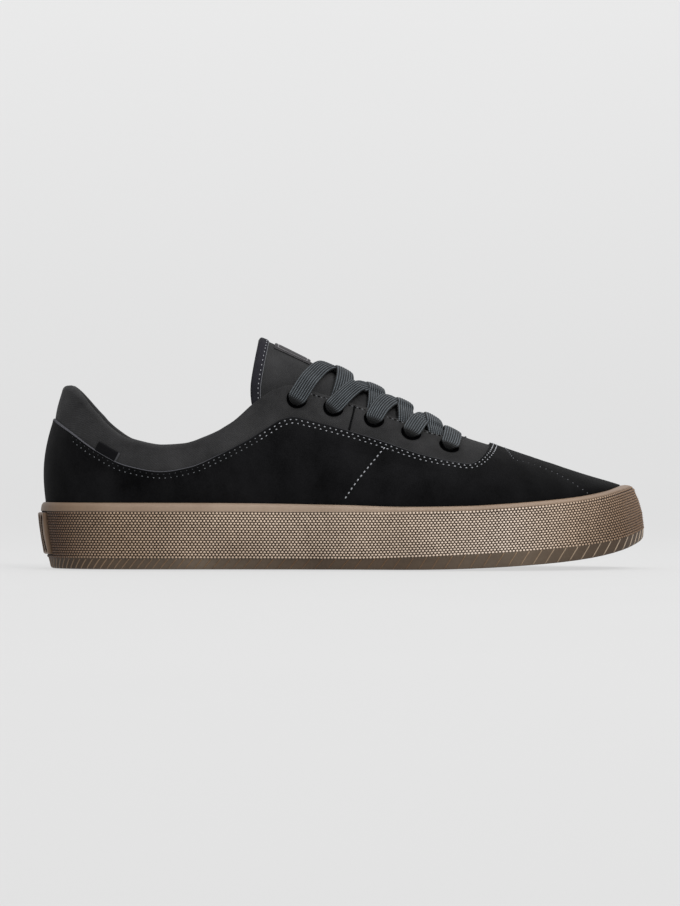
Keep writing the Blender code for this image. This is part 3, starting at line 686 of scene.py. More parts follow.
def last_point(foot, side, theta):
    """The upper's outer surface: from the rim at plan point foot, by angle theta towards the ridge."""
    spine_x = min(max(foot[0], heel_fan), toe_fan)
    root = np.array([spine_x, spine_y(spine_x)])
    wide, high = section(theta, spine_x)
    plan = root + (np.array(foot) - root) * wide
    if foot[0] <= toe_fan:
        low = rim_height(foot[0])
        return Vector((plan[0], plan[1], low + (ridge_height(spine_x) - low) * high))
    low = rim_height(plan[0])
    across = min(abs(plan[1] - spine_y(plan[0])) / half_width(plan[0], side), 1.0)
    power = roundness(share_of(plan[0]))
    high = max(1 - across**power, 0.0) ** (1 / power)
    return Vector((plan[0], plan[1], low + (max(ridge_height(plan[0]), low) - low) * high))


def angle_of_line(foot, side, height_share, lowered=0.0):
    """The angle where a line drawn on the shoe's side, given as heights along the shoe, crosses here."""
    spine_x = max(foot[0], heel_fan)
    low = rim_height(foot[0])
    theta = 0.5
    for _ in range(8):
        x = last_point(foot, side, theta)[0]
        height = collar_height * height_share(share_of(x)) - lowered
        theta = angle_of_height((height - low) / (ridge_height(spine_x) - low), spine_x)
    return theta


def line_angle(foot, side, height_share, bend_share, end_share, sharpness, lowered=0.0):
    """As angle_of_line, with a rounded front end where the line crosses the ridge."""
    share = share_of(foot[0])
    if share >= end_share:
        return math.pi / 2
    if share <= bend_share:
        return angle_of_line(foot, side, height_share, lowered)
    bend_x = heel_x + bend_share * sole_length
    start = angle_of_line((bend_x, spine_y(bend_x)), side, height_share, lowered)
    wide, _ = section(start, bend_x)
    t = (share - bend_share) / (end_share - bend_share)
    return angle_of_width(wide * (1 - t**sharpness) ** (1 / sharpness), foot[0])


def wall_at(x, below_edge):
    """Thickness of the upper's wall, padded near the collar's edge."""
    share = share_of(x)
    along = ease((0.335 - share) / 0.10)
    down = ease(1 - below_edge / collar_pad_depth)
    return wall_thickness + (collar_thickness - wall_thickness) * along * down


def rim_rise(x):
    """How far the half-round edge of the opening rises over the last row of the wall."""
    return wall_at(x, 0.0) * 0.32


def edge_angle(foot, side):
    return line_angle(
        foot, side, edge_share, throat_bend_share, throat_end_share, 2.0, rim_rise(foot[0])
    )


def suede_angle(foot, side):
    return line_angle(foot, side, suede_share, suede_bend_share, suede_front_share, 2.5)


def feather_feet(side, stations):
    """Plan points of the feather line: both sides' points beside the foot lie at the same x."""
    points = feather[side]
    lengths = np.concatenate([[0], np.cumsum(np.linalg.norm(np.diff(points, axis=0), axis=1))])
    heel_length = np.interp(heel_fan, points[:, 0], lengths)
    toe_length = np.interp(toe_fan, points[:, 0], lengths)
    feet = []
    for station in stations:
        if station <= 1:
            length = heel_length * station
        elif station < 2:
            length = np.interp(heel_fan + (toe_fan - heel_fan) * (station - 1), points[:, 0], lengths)
        else:
            length = toe_length + (lengths[-1] - toe_length) * (station - 2)
        feet.append(np.array([np.interp(length, lengths, points[:, k]) for k in (0, 1)]))
    return feet


def foot_of(x, side):
    """The plan point of the feather line beside x."""
    points = feather[side]
    return np.array([x, float(np.interp(x, points[:, 0], points[:, 1]))])


class Skin:
    """The upper's outer surface as a grid, both sides welded at heel, toe and ridge."""

    def __init__(self, stations, suede_steps, collar_steps):
        self.stations = stations
        self.rows = suede_steps + collar_steps + 1
        self.suede_row = suede_steps
        mesh = bmesh.new()
        self.vertices = {}
        found = {}
        for side in SIDES:
            for i, foot in enumerate(feather_feet(side, stations)):
                top = edge_angle(foot, side)
                seam = min(suede_angle(foot, side), top)
                angles = [seam * (k / suede_steps) for k in range(suede_steps)]
                angles += [seam + (top - seam) * (k / collar_steps) for k in range(collar_steps + 1)]
                for j, theta in enumerate(angles):
                    point = last_point(foot, side, theta)
                    twin = self.vertices.get(("outer", i, j))
                    key = tuple(round(c * 1e6) for c in point)
                    if twin is not None and (twin.co - point).length < weld_distance:
                        found[key] = twin
                    if key not in found:
                        found[key] = mesh.verts.new(point)
                    self.vertices[side, i, j] = found[key]
        for side in SIDES:
            for i in range(len(stations) - 1):
                for j in range(self.rows - 1):
                    corners = [(i, j), (i + 1, j), (i + 1, j + 1), (i, j + 1)]
                    loop = []
                    for a, b in corners:
                        vertex = self.vertices[side, a, b]
                        if vertex not in loop:
                            loop.append(vertex)
                    if len(loop) < 3:
                        continue
                    if side == "inner":
                        loop.reverse()
                    if mesh.faces.get(loop) is None:
                        mesh.faces.new(loop)
        mesh.normal_update()
        self.tree = BVHTree.FromBMesh(mesh)
        self.normals = {key: v.normal.copy() for key, v in self.vertices.items()}
        self.points = {key: v.co.copy() for key, v in self.vertices.items()}
        mesh.free()

    def from_side(self, x, z, side):
        """Point and normal of the surface straight in from one side."""
        sign = SIDES[side][1]
        point, normal, _, _ = self.tree.ray_cast(Vector((x, sign, z)), Vector((0, -sign, 0)))
        if point is None:
            return None
        if normal.y * sign < 0:
            normal = -normal
        return point, normal

    def nearest(self, place):
        point, normal, _, _ = self.tree.find_nearest(place)
        return point, normal

    def above(self, x, y):
        """Place of the surface straight down at plan place (x, y)."""
        return self.tree.ray_cast(Vector((x, y, 1)), Vector((0, 0, -1)))[0]


def clustered(start, end, count, power):
    """Shares that crowd towards their end, where a line turns over the ridge."""
    steps = np.linspace(0, 1, count)
    return list(start + (end - start) * (1 - (1 - steps) ** power))


def station_of(share):
    """The station of a meridian beside the foot."""
    return 1 + (share - heel_fan_share) / (toe_fan_share - heel_fan_share)


def upper_stations():
    """Where the meridians start: 0 to 1 round the heel, 1 to 2 beside, 2 to 3 round the toe."""
    beside = list(np.linspace(heel_fan_share, throat_bend_share, 122)[1:])
    beside += clustered(throat_bend_share, throat_end_share, 30, 2.2)[1:]
    beside += clustered(throat_end_share, suede_front_share, 34, 2.4)[1:]
    beside += list(np.linspace(suede_front_share, toe_fan_share, 30)[1:-1])
    beside = [station_of(share) for share in beside]
    return [*np.linspace(0, 1, 44), *beside, *np.linspace(2, 3, 56)]


suede_steps = 40
collar_steps = 26
collar_fold_rows = 13
collar_rim_steps = 8
stations = upper_stations()
skin = Skin(stations, suede_steps, collar_steps)
front_station, throat_station = (
    min(range(len(stations)), key=lambda i: abs(stations[i] - station_of(share)))
    for share in (suede_front_share, throat_end_share)
)


# Materials

def grey(value):
    return (value, value, value)


class Nodes:
    """A material with a Principled shader and short ways to add nodes to it."""

    def __init__(self, name):
        self.material = bpy.data.materials.new(name)
        self.material.use_nodes = True
        self.tree = self.material.node_tree
        self.shader = self.tree.nodes["Principled BSDF"]
        self.coordinates = self.tree.nodes.new("ShaderNodeTexCoord").outputs["Object"]

    def add(self, kind, inputs, **settings):
        """A new node. Each input, by name or number, takes a value or another node's output."""
        node = self.tree.nodes.new(kind)
        for key, value in settings.items():
            setattr(node, key, value)
        self.feed(node, inputs)
        return node

    def feed(self, node, inputs):
        for key, value in inputs.items():
            if isinstance(value, bpy.types.NodeSocket):
                self.tree.links.new(value, node.inputs[key])
            else:
                node.inputs[key].default_value = value

    def stretched(self, stretch):
        node = self.add("ShaderNodeMapping", {"Vector": self.coordinates, "Scale": stretch})
        return node.outputs["Vector"]

    def split(self, vector):
        return self.add("ShaderNodeSeparateXYZ", {"Vector": vector}).outputs

    def noise(self, scale, detail, roughness, vector=None):
        inputs = {"Scale": scale, "Detail": detail, "Roughness": roughness}
        inputs["Vector"] = vector or self.coordinates
        return self.add("ShaderNodeTexNoise", inputs).outputs["Fac"]

    def waves(self, direction, scale):
        inputs = {"Vector": self.coordinates, "Scale": scale, "Distortion": 0.4}
        node = self.add("ShaderNodeTexWave", inputs, wave_type="BANDS", bands_direction=direction)
        return node.outputs["Fac"]

    def math(self, operation, *values):
        return self.add("ShaderNodeMath", dict(enumerate(values)), operation=operation).outputs[0]

    def multiply(self, colour, other):
        inputs = {"Factor": 1, 6: colour, 7: other}
        return self.add("ShaderNodeMix", inputs, data_type="RGBA", blend_type="MULTIPLY").outputs[2]

    def ramp(self, value, stops):
        node = self.add("ShaderNodeValToRGB", {"Fac": value})
        elements = node.color_ramp.elements
        elements[0].position, elements[0].color = stops[0][0], (*stops[0][1], 1)
        elements[1].position, elements[1].color = stops[-1][0], (*stops[-1][1], 1)
        for position, colour in stops[1:-1]:
            elements.new(position).color = (*colour, 1)
        return node.outputs["Color"]

    def across_x(self, stops):
        """A tone that changes along the shoe."""
        along = self.split(self.coordinates)["X"]
        return self.ramp(self.math("MULTIPLY_ADD", along, 1 / sole_length, 0.5), stops)

    def bump(self, height, strength, distance, under=None):
        node = self.add("ShaderNodeBump", {"Height": height, "Strength": strength, "Distance": distance})
        if under is not None:
            self.feed(node, {"Normal": under})
        return node.outputs["Normal"]

    def finish(self, colour, rough, gloss, normal=None, sheen=0.0, sheen_rough=0.5):
        self.feed(self.shader, {"Base Color": colour, "Metallic": 0, "Roughness": rough,
                                "Specular IOR Level": gloss, "Sheen Weight": sheen,
                                "Sheen Roughness": sheen_rough})
        if normal is not None:
            self.feed(self.shader, {"Normal": normal})
        return self.material


def suede_material():
    """Napped black leather: brushed patches and a fine nap. It is darker to the toe, a painted shade."""
    nodes = Nodes("suede_black")
    patches = nodes.noise(34, 5, 0.62, nodes.stretched((1.0, 1.0, 0.75)))
    mixed = nodes.math("MULTIPLY_ADD", nodes.noise(1500, 2, 0.6), 0.35, patches)
    colour = nodes.ramp(mixed, [(0.48, (0.0006, 0.0006, 0.0008)), (0.84, (0.0080, 0.0080, 0.0088))])
    # Painted shade towards the toe.
    colour = nodes.multiply(colour, nodes.across_x([(0.58, grey(1.0)), (0.76, grey(0.70))]))
    brushed = nodes.bump(nodes.noise(420, 4, 0.65), 0.30, 0.0004)
    normal = nodes.bump(nodes.noise(2600, 2, 0.6), 0.55, 0.0002, brushed)
    return nodes.finish(colour, 0.92, 0.08, normal, 0.02, 0.45)


def textile_material(name, low, high, thread=0.0007, depth=0.00022, sheen=0.10, toe_shade_factor=1.0):
    """Plain woven cloth: crossed threads with a little dye variation. It is darker to the toe by the given
    factor, a painted shade.
    """
    nodes = Nodes(name)
    scale = 1 / thread / 3.2
    weave = nodes.math("MULTIPLY", nodes.waves("DIAGONAL", scale), nodes.waves("Z", scale * 1.25))
    fibre = nodes.noise(2400, 2, 0.6)
    shade = nodes.math("MULTIPLY_ADD", fibre, 0.5, nodes.noise(55, 4, 0.55))
    colour = nodes.ramp(shade, [(0.45, low), (1.0, high)])
    # Painted shade towards the toe.
    colour = nodes.multiply(colour, nodes.across_x([(0.50, grey(1.0)), (0.70, grey(toe_shade_factor))]))
    normal = nodes.bump(fibre, 0.35, 0.00012, nodes.bump(weave, 0.55, depth))
    return nodes.finish(colour, 0.88, 0.12, normal, sheen)


def lace_material():
    """Flat braid: a fine slanted knit on each rib. The pale rib tops are a painted highlight and the dark
    grooves between them painted shade.
    """
    nodes = Nodes("lace_weave")
    plan = nodes.split(nodes.add("ShaderNodeUVMap", {}).outputs["UV"])
    across, along = plan["X"], plan["Y"]
    turn = nodes.math("MULTIPLY", across, 2 * math.pi * lace_ribs)
    rib = nodes.math("MULTIPLY_ADD", nodes.math("COSINE", turn), -0.5, 0.5)
    fold = nodes.math("PINGPONG", nodes.math("MULTIPLY", across, lace_ribs), 0.5)
    slant = nodes.math("MULTIPLY_ADD", fold, 2.2, nodes.math("MULTIPLY", along, 2 * math.pi / 0.9))
    knit = nodes.math("MULTIPLY_ADD", nodes.math("SINE", slant), 0.5, 0.5)
    specks = nodes.math("ADD", nodes.noise(1700, 2, 0.7), nodes.noise(120, 3, 0.5))
    shade = nodes.math("MULTIPLY_ADD", rib, 0.52, nodes.math("MULTIPLY", knit, 0.24))
    shade = nodes.math("MULTIPLY_ADD", specks, 0.24, shade)
    # The pale top of the ramp is a painted highlight on the ribs, the dark foot painted shade in the
    # grooves.
    colour = nodes.ramp(shade, [(0.30, (0.0042, 0.0052, 0.0060)), (0.66, (0.0125, 0.0150, 0.0175)),
                                (0.95, (0.115, 0.132, 0.146))])
    # Painted shade: the fold is darkened where it goes down into the hole.
    out = nodes.math("MULTIPLY_ADD", along, 0.2, 0.5)
    dark = nodes.ramp(out, [(0.30, grey(0.06)), (0.44, grey(0.30)), (0.74, grey(1.0))])
    relief = nodes.bump(nodes.math("MULTIPLY_ADD", knit, 0.5, rib), 0.55, 0.00035)
    return nodes.finish(nodes.multiply(colour, dark), 0.75, 0.25, relief, 0.06, 0.4)


def rubber_material(name, low, high, painted_tones, rough):
    """Gum rubber: warm, slightly cloudy, with a fine satin grain. Painted light and shade along the shoe
    make it darker and browner at the ends.
    """
    nodes = Nodes(name)
    grain = nodes.noise(900, 3, 0.6)
    shade = nodes.math("MULTIPLY_ADD", grain, 0.25, nodes.noise(28, 5, 0.6))
    colour = nodes.ramp(shade, [(0.40, low), (0.82, high)])
    # Painted light and shade along the shoe, from the given table.
    tone = nodes.across_x([(share, (light, light**1.28, light**1.62)) for share, light in painted_tones])
    return nodes.finish(nodes.multiply(colour, tone), rough, 0.42, nodes.bump(grain, 0.15, 0.00012))


def tread_material():
    """The sole's rubber. A fine net of grooves on it reads on the underside only."""
    nodes = Nodes("gum_rubber_tread")
    cloud = nodes.noise(28, 5, 0.6)
    colour = nodes.ramp(cloud, [(0.35, (0.075, 0.053, 0.037)), (0.7, (0.125, 0.092, 0.067))])
    inputs = {"Vector": nodes.stretched((1.0, 1.0, 0.02)), "Scale": 300, "Randomness": 0}
    net = nodes.add("ShaderNodeTexVoronoi", inputs, feature="DISTANCE_TO_EDGE")
    cells = nodes.math("MINIMUM", net.outputs["Distance"], 0.14)
    return nodes.finish(colour, 0.6, 0.4, nodes.bump(cells, 0.6, 0.002))


def plain_material(name, colour, rough, gloss=0.2):
    """One colour with a fine speck and grain."""
    nodes = Nodes(name)
    speck = nodes.noise(1200, 2, 0.6)
    tint = nodes.ramp(speck, [(0.3, tuple(c * 0.8 for c in colour)), (0.7, tuple(c * 1.2 for c in colour))])
    return nodes.finish(tint, rough, gloss, nodes.bump(speck, 0.3, 0.00015))


def cut_edge_material():
    """The suede's raw cut edge: pale round the heel and at the throat, dark beside the ankle."""
    nodes = Nodes("suede_cut_edge")
    speck = nodes.noise(1200, 2, 0.6)
    grain = nodes.ramp(speck, [(0.3, grey(0.8)), (0.7, grey(1.0))])
    tone = nodes.across_x([(share, (tone, tone, tone * 1.12)) for share, tone in edge_tone_rows])
    return nodes.finish(nodes.multiply(grain, tone), 0.92, 0.1, nodes.bump(speck, 0.3, 0.00015))


suede = suede_material()
suede_edge = cut_edge_material()
textile = textile_material("textile_grey", (0.0130, 0.0130, 0.0135), (0.0420, 0.0416, 0.0426), sheen=0.03,
                           toe_shade_factor=0.50)
lining = textile_material("lining_mesh", (0.020, 0.020, 0.021), (0.042, 0.042, 0.043), 0.0011, 0.0004, 0.03)
tongue_cloth = textile_material("tongue_cloth", (0.0130, 0.0130, 0.0135), (0.0350, 0.0350, 0.0360),
                                sheen=0.03)
binding_cloth = textile_material("binding_tape", (0.0090, 0.0089, 0.0120), (0.0215, 0.0210, 0.0272), 0.0006,
                                 sheen=0.02)
label_cloth = textile_material("label_satin", (0.024, 0.023, 0.024), (0.046, 0.044, 0.046), 0.0005, 0.0001)
tag_cloth = textile_material("tag_satin", (0.0025, 0.0025, 0.003), (0.005, 0.005, 0.006), 0.0005, 0.0001,
                             sheen=0.0)
footbed_cloth = textile_material("footbed_cloth", (0.026, 0.026, 0.028), (0.048, 0.048, 0.052), 0.0010,
                                 0.0003)
lace_weave = lace_material()
# Pebble crowns: a bright copy of the rubber, a painted highlight.
gum = rubber_material("gum_rubber", (0.60, 0.485, 0.390), (0.92, 0.775, 0.650), pebble_light_rows, 0.38)
# Pebble flanks: a dark copy of the rubber, painted shade.
gum_flank_shade = rubber_material("gum_rubber_flank_shade", (0.150, 0.108, 0.077), (0.245, 0.182, 0.134), pebble_light_rows, 0.5)
# Dark rubber for the sunk band between the pebbles: painted shade in the gaps.
gum_recess_shade = rubber_material("gum_rubber_recess_shade", (0.022, 0.014, 0.009), (0.040, 0.027, 0.018), pebble_light_rows, 0.8)
gum_rim = rubber_material("gum_rubber_rim", (0.265, 0.192, 0.140), (0.380, 0.292, 0.224), band_light_rows,
                          0.48)
gum_shade = rubber_material("gum_rubber_band", (0.078, 0.056, 0.036), (0.150, 0.112, 0.080), tread_light_rows,
                            0.6)
# A lighter copy of the rubber for the tread ribs: a painted highlight.
gum_rib_highlight = rubber_material("gum_rubber_rib_highlight", (0.28, 0.215, 0.155), (0.51, 0.41, 0.31), rib_light_rows, 0.45)
sole_rubber = tread_material()
# Near-black rubber for the heel plate's slots: painted shade in the recesses.
slot_painted_shade = plain_material("gum_rubber_slot_shade", (0.009, 0.0065, 0.005), 0.9, 0.05)
# Black for the discs round the eyelets: a painted shadow of the holes.
eyelet_painted_shadow = plain_material("eyelet_painted_shadow", (0.0010, 0.0010, 0.0012), 0.95, 0.0)
label_edge = plain_material("label_fold", (0.150, 0.146, 0.152), 0.7)
tag_edge = plain_material("tag_fold", (0.050, 0.050, 0.054), 0.8)
pale_thread = plain_material("thread_pale", (0.34, 0.35, 0.37), 0.75)
grey_thread = plain_material("thread_grey", (0.14, 0.145, 0.155), 0.75)
# A darker copy of the pale thread: painted shade on the suede edge's stitches at the heel.
pale_thread_shaded = plain_material("thread_pale_shaded", (0.035, 0.036, 0.040), 0.8)
dark_thread = plain_material("thread_dark", (0.0035, 0.0035, 0.0040), 0.85, 0.05)


# Building helpers

def welding(builder):
    """A function that gives the vertex at a point, the same one for points that fall together."""
    made = {}

    def vertex(point):
        key = tuple(round(c * 1e6) for c in point)
        if key not in made:
            made[key] = builder.verts.new(point)
        return made[key]

    return vertex


def add_piece(name, builder, materials, turn_out=True):
    """A finished mesh as an object on the shoe's body. Its faces are turned outwards unless they are."""
    if turn_out:
        bmesh.ops.recalc_face_normals(builder, faces=builder.faces)
    mesh = bpy.data.meshes.new(name)
    builder.to_mesh(mesh)
    builder.free()
    mesh.shade_smooth()
    for material in materials:
        mesh.materials.append(material)
    piece = bpy.data.objects.new(name, mesh)
    bpy.context.scene.collection.objects.link(piece)
    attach(piece, "root")
    return piece


def grid_faces(builder, grid, material=0, flip=False, closed=False):
    """Quads between neighbouring rows of vertices, triangles where two corners are one."""
    for low, high in zip(grid, grid[1:]):
        count = len(low) if closed else len(low) - 1
        for i in range(count):
            after = (i + 1) % len(low)
            loop = list(dict.fromkeys([low[i], low[after], high[after], high[i]]))
            if len(loop) < 3:
                continue
            if flip:
                loop.reverse()
            if builder.faces.get(loop) is None:
                builder.faces.new(loop).material_index = material


def cap_ends(builder, rings, material=0):
    builder.faces.new(rings[0][::-1]).material_index = material
    builder.faces.new(rings[-1]).material_index = material


def spoked_ring(builder, centre, across, up, count):
    """A ring of vertices round a centre, in the plane of two spokes."""
    turns = [2 * math.pi * k / count for k in range(count)]
    return [builder.verts.new(centre + across * math.cos(turn) + up * math.sin(turn)) for turn in turns]


def close_patch(builder, grids, is_fold):
    """Faces of a small sewn piece from its back and front grids, with its folds and border as material 1."""
    grid_faces(builder, grids[0])
    grid_faces(builder, grids[1], 0, True)
    for face in builder.faces:
        if all(is_fold(corner) for corner in face.verts):
            face.material_index = 1
    borders = []
    for grid in grids:
        border = grid[0] + [row[-1] for row in grid[1:]] + grid[-1][-2::-1]
        borders.append(border + [row[0] for row in grid[-2:0:-1]])
    grid_faces(builder, borders, 1, closed=True)


def distance_to_path(place, path):
    """Distance from a place to a line of points."""
    best = 1.0
    for a, b in zip(path, path[1:]):
        span = b - a
        t = min(max((place - a).dot(span) / max(span.length_squared, 1e-12), 0), 1)
        best = min(best, (place - a - span * t).length)
    return best


def side_path(rows, side):
    """A line on the upper that is given by its look from the side."""
    places = []
    for x, z in rows:
        hit = skin.from_side(x, z, side)
        if hit is not None:
            places.append(hit[0])
    return places


def even_places(path, pitch, start=0.0):
    """Places at an even pitch along a line of points, with the line's direction there."""
    made = []
    wanted = start
    run = 0.0
    for a, b in zip(path, path[1:]):
        length = (b - a).length
        if length < 1e-9:
            continue
        while wanted <= run + length:
            t = (wanted - run) / length
            made.append((a + (b - a) * t, (b - a) / length))
            wanted += pitch
        run += length
    return made


def capsule(builder, centre, along, normal, length, radius, material=0):
    """One stitch: a short round-ended thread that dives in at both ends."""
    across = normal.cross(along).normalized()
    rings = []
    for t in (-1.0, -0.72, 0.0, 0.72, 1.0):
        sunk = centre + along * (t * length / 2) - normal * (radius * 1.5 * t * t)
        size = radius * math.sqrt(max(1 - 0.82 * t * t, 0.05))
        rings.append(spoked_ring(builder, sunk, across * size, normal * size, 6))
    grid_faces(builder, rings, material, closed=True)
    cap_ends(builder, rings, material)


def tube(builder, path, normals, radius, material=0):
    """A thin round strand along a path that lies on a surface."""
    rings = []
    for k, place in enumerate(path):
        along = (path[min(k + 1, len(path) - 1)] - path[max(k - 1, 0)]).normalized()
        across = normals[k].cross(along).normalized()
        rings.append(spoked_ring(builder, place, across * radius, normals[k] * radius, 6))
    grid_faces(builder, rings, material, closed=True)
    cap_ends(builder, rings, material)


# Lines on the upper

def smooth_path(places, steps=12):
    """A Catmull-Rom line through places."""
    made = []
    count = len(places)
    for i in range(count - 1):
        a = places[max(i - 1, 0)]
        b, c = places[i], places[i + 1]
        d = places[min(i + 2, count - 1)]
        for step in range(steps):
            t = step / steps
            made.append(
                (b * 2 + (c - a) * t + (a * 2 - b * 5 + c * 4 - d) * t**2 + (b * 3 - a - c * 3 + d) * t**3)
                * 0.5
            )
    made.append(places[-1])
    return made


quarter_seams = {side: smooth_path(side_path(quarter_seam_rows, side)) for side in SIDES}
eyestay_seams = {side: smooth_path(side_path(eyestay_seam_rows, side)) for side in SIDES}


def toe_cap_line():
    """The toe cap's stitches: given by their look from the side, and carried round over the ridge."""
    halves = {side: side_path(toe_cap_rows, side) for side in SIDES}
    x = halves["outer"][-1].x - toe_cap_crown
    for half in halves.values():
        last = half[-1]
        for share in (0.66, 0.33):
            y = last.y * share + spine_y(x) * (1 - share)
            half.append(skin.above(x + toe_cap_crown * share**2.2, y))
    top = Vector((x, spine_y(x), ridge_height(x)))
    places = [*halves["outer"], top, *halves["inner"][::-1]]
    return [skin.nearest(place)[0] for place in smooth_path(places, 16)]


toe_cap_seam = toe_cap_line()


def seam_line(row):
    """A row of the skin as one line: from the heel along the outer side, over the ridge and back."""
    outer, inner = ([skin.points[side, i, row] for i in range(front_station + 1)] for side in SIDES)
    return outer + inner[-2::-1]


def offset_line(line, distance):
    """A line beside another one on the skin, below it on the outer side."""
    made = []
    for k, place in enumerate(line):
        ahead = line[min(k + 2, len(line) - 1)]
        behind = line[max(k - 2, 0)]
        if (ahead - behind).length < 1e-7:
            continue
        along = (ahead - behind).normalized()
        _, normal = skin.nearest(place)
        side = along.cross(normal).normalized()
        made.append(skin.nearest(place + side * distance)[0])
    return made


suede_line = seam_line(suede_steps)


def beside(place, rows):
    """Whether a place is near enough, along the shoe, to a seam given by its look from the side."""
    xs = [row[0] for row in rows]
    return min(xs) - 2 * toe_cap_crown < place.x < max(xs) + 2 * toe_cap_crown


def seam_trough(place):
    """How far the suede sinks at its seams: along the stitches and round the toe cap."""
    sink = 0.0
    if beside(place, quarter_seam_rows):
        for path in quarter_seams.values():
            near = distance_to_path(place, path[::6])
            sink += quarter_seam_sink * math.exp(-((near / quarter_seam_spread) ** 2))
    if beside(place, toe_cap_rows):
        near = distance_to_path(place, toe_cap_seam[::6])
        sink += toe_cap_sink * math.exp(-((near / toe_cap_spread) ** 2))
    return sink


def crease(place):
    """Soft hollows across the vamp, each with a low ridge on its toe side. They fade out at the rim."""
    height = 0.0
    fade = ease((place.z - rim_height(place.x)) / crease_fade_run)
    for x, lean, depth, width in crease_rows:
        centre = x + lean * abs(place.y - spine_y(place.x))
        across = (place.x - centre) / width
        height += depth * (0.55 * math.exp(-((across - 1.9) ** 2)) - math.exp(-across * across))
    return height * fade


# Suede

def build_suede():
    """Toe, vamp and quarter as a layer over the shell. Its cut edge is widest round the heel."""
    builder = bmesh.new()
    vertex = welding(builder)
    for side in SIDES:
        columns = []
        for i in range(len(stations)):
            foot = skin.points[side, i, 0]
            normal = skin.normals[side, i, 0]
            flat = Vector((normal.x, normal.y, 0)).normalized()
            column = [vertex(foot - flat * suede_tuck_in - Vector((0, 0, suede_tuck)))]
            for j in range(suede_steps):
                point = skin.points[side, i, j]
                sink = seam_trough(point) - crease(point)
                column.append(vertex(point - skin.normals[side, i, j] * sink))
            seam = skin.points[side, i, suede_steps]
            below = skin.points[side, i, suede_steps - 1]
            normal = skin.normals[side, i, suede_steps]
            up = (seam - below).normalized() if (seam - below).length > 1e-7 else Vector((0, 0, 1))
            if i < front_station:
                wide = 1 + 0.9 * ease((cut_edge_heel_x - seam.x) / 0.02)
                for inset, depth in cut_edge_rows:
                    column.append(vertex(seam - up * inset * wide - normal * depth))
            else:
                column += [vertex(seam)] * len(cut_edge_rows)
            columns.append(column)
        rows = list(zip(*columns))
        soft = suede_steps + 1
        grid_faces(builder, rows[: soft + 1], 0, side == "inner")
        grid_faces(builder, rows[soft:], 1, side == "inner")
    add_piece("suede_upper", builder, [suede, suede_edge], turn_out=False)


# Shell of the upper: textile outside, lining inside

def eyelet_frames():
    places = {}
    for side in SIDES:
        places[side] = []
        for share, height, _, _, _ in eyelet_rows:
            x = heel_x + share * sole_length
            low = rim_height(x)
            theta = angle_of_height((height * collar_height - low) / (ridge_height(x) - low), x)
            places[side].append(surface_frame(x, theta, side))
    return places


def surface_frame(x, theta, side):
    """Point and outward normal of the upper's outer surface on the cross section at x."""
    step = 1e-3
    here = last_point(foot_of(x, side), side, theta)
    ahead = last_point(foot_of(x + step, side), side, theta)
    up = last_point(foot_of(x, side), side, theta + step)
    down = last_point(foot_of(x, side), side, theta - step)
    normal = (ahead - here).cross(up - down).normalized()
    if side == "inner":
        normal = -normal
    return here, normal


eyelets = eyelet_frames()


def textile_relief(point, edge, side, share):
    """Puffed collar, pressed eyelets and the short seam, as height over the cloth's plain surface."""
    below = min((edge - point).length / collar_puff_run, 1)
    height = collar_puff * ease((0.36 - share) / 0.12) * math.sin(math.pi * below) ** 2
    for place, _ in eyelets[side]:
        reach = (point - place).length
        height -= eyelet_sink * math.exp(-((reach / eyelet_spread) ** 4))
        height += eyelet_ring_rise * math.exp(-(((reach - eyelet_ring_reach) / 0.0016) ** 2))
    near = distance_to_path(point, eyestay_seams[side][::6])
    return height - eyestay_seam_sink * math.exp(-((near / eyestay_seam_spread) ** 2))


def build_shell():
    """Textile outside, its half-round edge at the opening, and the lining inside."""
    builder = bmesh.new()
    vertex = welding(builder)
    rows_used = list(range(0, suede_steps - 3, 4)) + list(range(suede_steps - 3, skin.rows))
    for side in SIDES:
        flip = side == "inner"
        outside, inside, bridges = [], [], []
        for i in range(len(stations)):
            edge = skin.points[side, i, skin.rows - 1]
            share = share_of(skin.points[side, i, 0].x)
            is_open = i < throat_station
            out_column, in_column = [], []
            for j in rows_used:
                point = skin.points[side, i, j]
                normal = skin.normals[side, i, j]
                height = 0.0
                if j >= suede_steps and i < front_station:
                    height = textile_relief(point, edge, side, share)
                out_column.append(vertex(point - normal * (suede_thickness - height)))
                wall = wall_at(edge.x, (edge - point).length) if is_open else wall_thickness
                in_column.append(vertex(point - normal * wall))
            foot = skin.points[side, i, 0]
            normal = skin.normals[side, i, 0]
            inward = Vector((-normal.x, -normal.y, 0)).normalized() * wall_thickness
            floor = Vector((foot.x, foot.y, cup_floor(foot.x) + gap)) + inward
            in_column.insert(0, vertex(floor))
            if is_open:
                bridge = []
                up = (edge - skin.points[side, i, skin.rows - 2]).normalized()
                centre = (out_column[-1].co + in_column[-1].co) / 2
                spoke = out_column[-1].co - centre
                for k in range(collar_rim_steps):
                    turn = math.pi * (k + 1) / (collar_rim_steps + 1)
                    rise = up * spoke.length * math.sin(turn)
                    bridge.append(vertex(centre + spoke * math.cos(turn) + rise))
            else:
                bridge = [out_column[-1]] * collar_rim_steps
            outside.append(out_column)
            inside.append(in_column)
            bridges.append([out_column[-1], *bridge, in_column[-1]])
        grid_faces(builder, list(zip(*outside)), 0, flip)
        rows = list(zip(*inside))
        grid_faces(builder, rows[: -collar_fold_rows], 1, not flip)
        grid_faces(builder, rows[-collar_fold_rows - 1:], 0, not flip)
        grid_faces(builder, list(zip(*bridges[: throat_station + 1])), 0, flip)
    piece = add_piece("collar_and_lining", builder, [textile, lining], turn_out=False)
    return piece


# Tongue

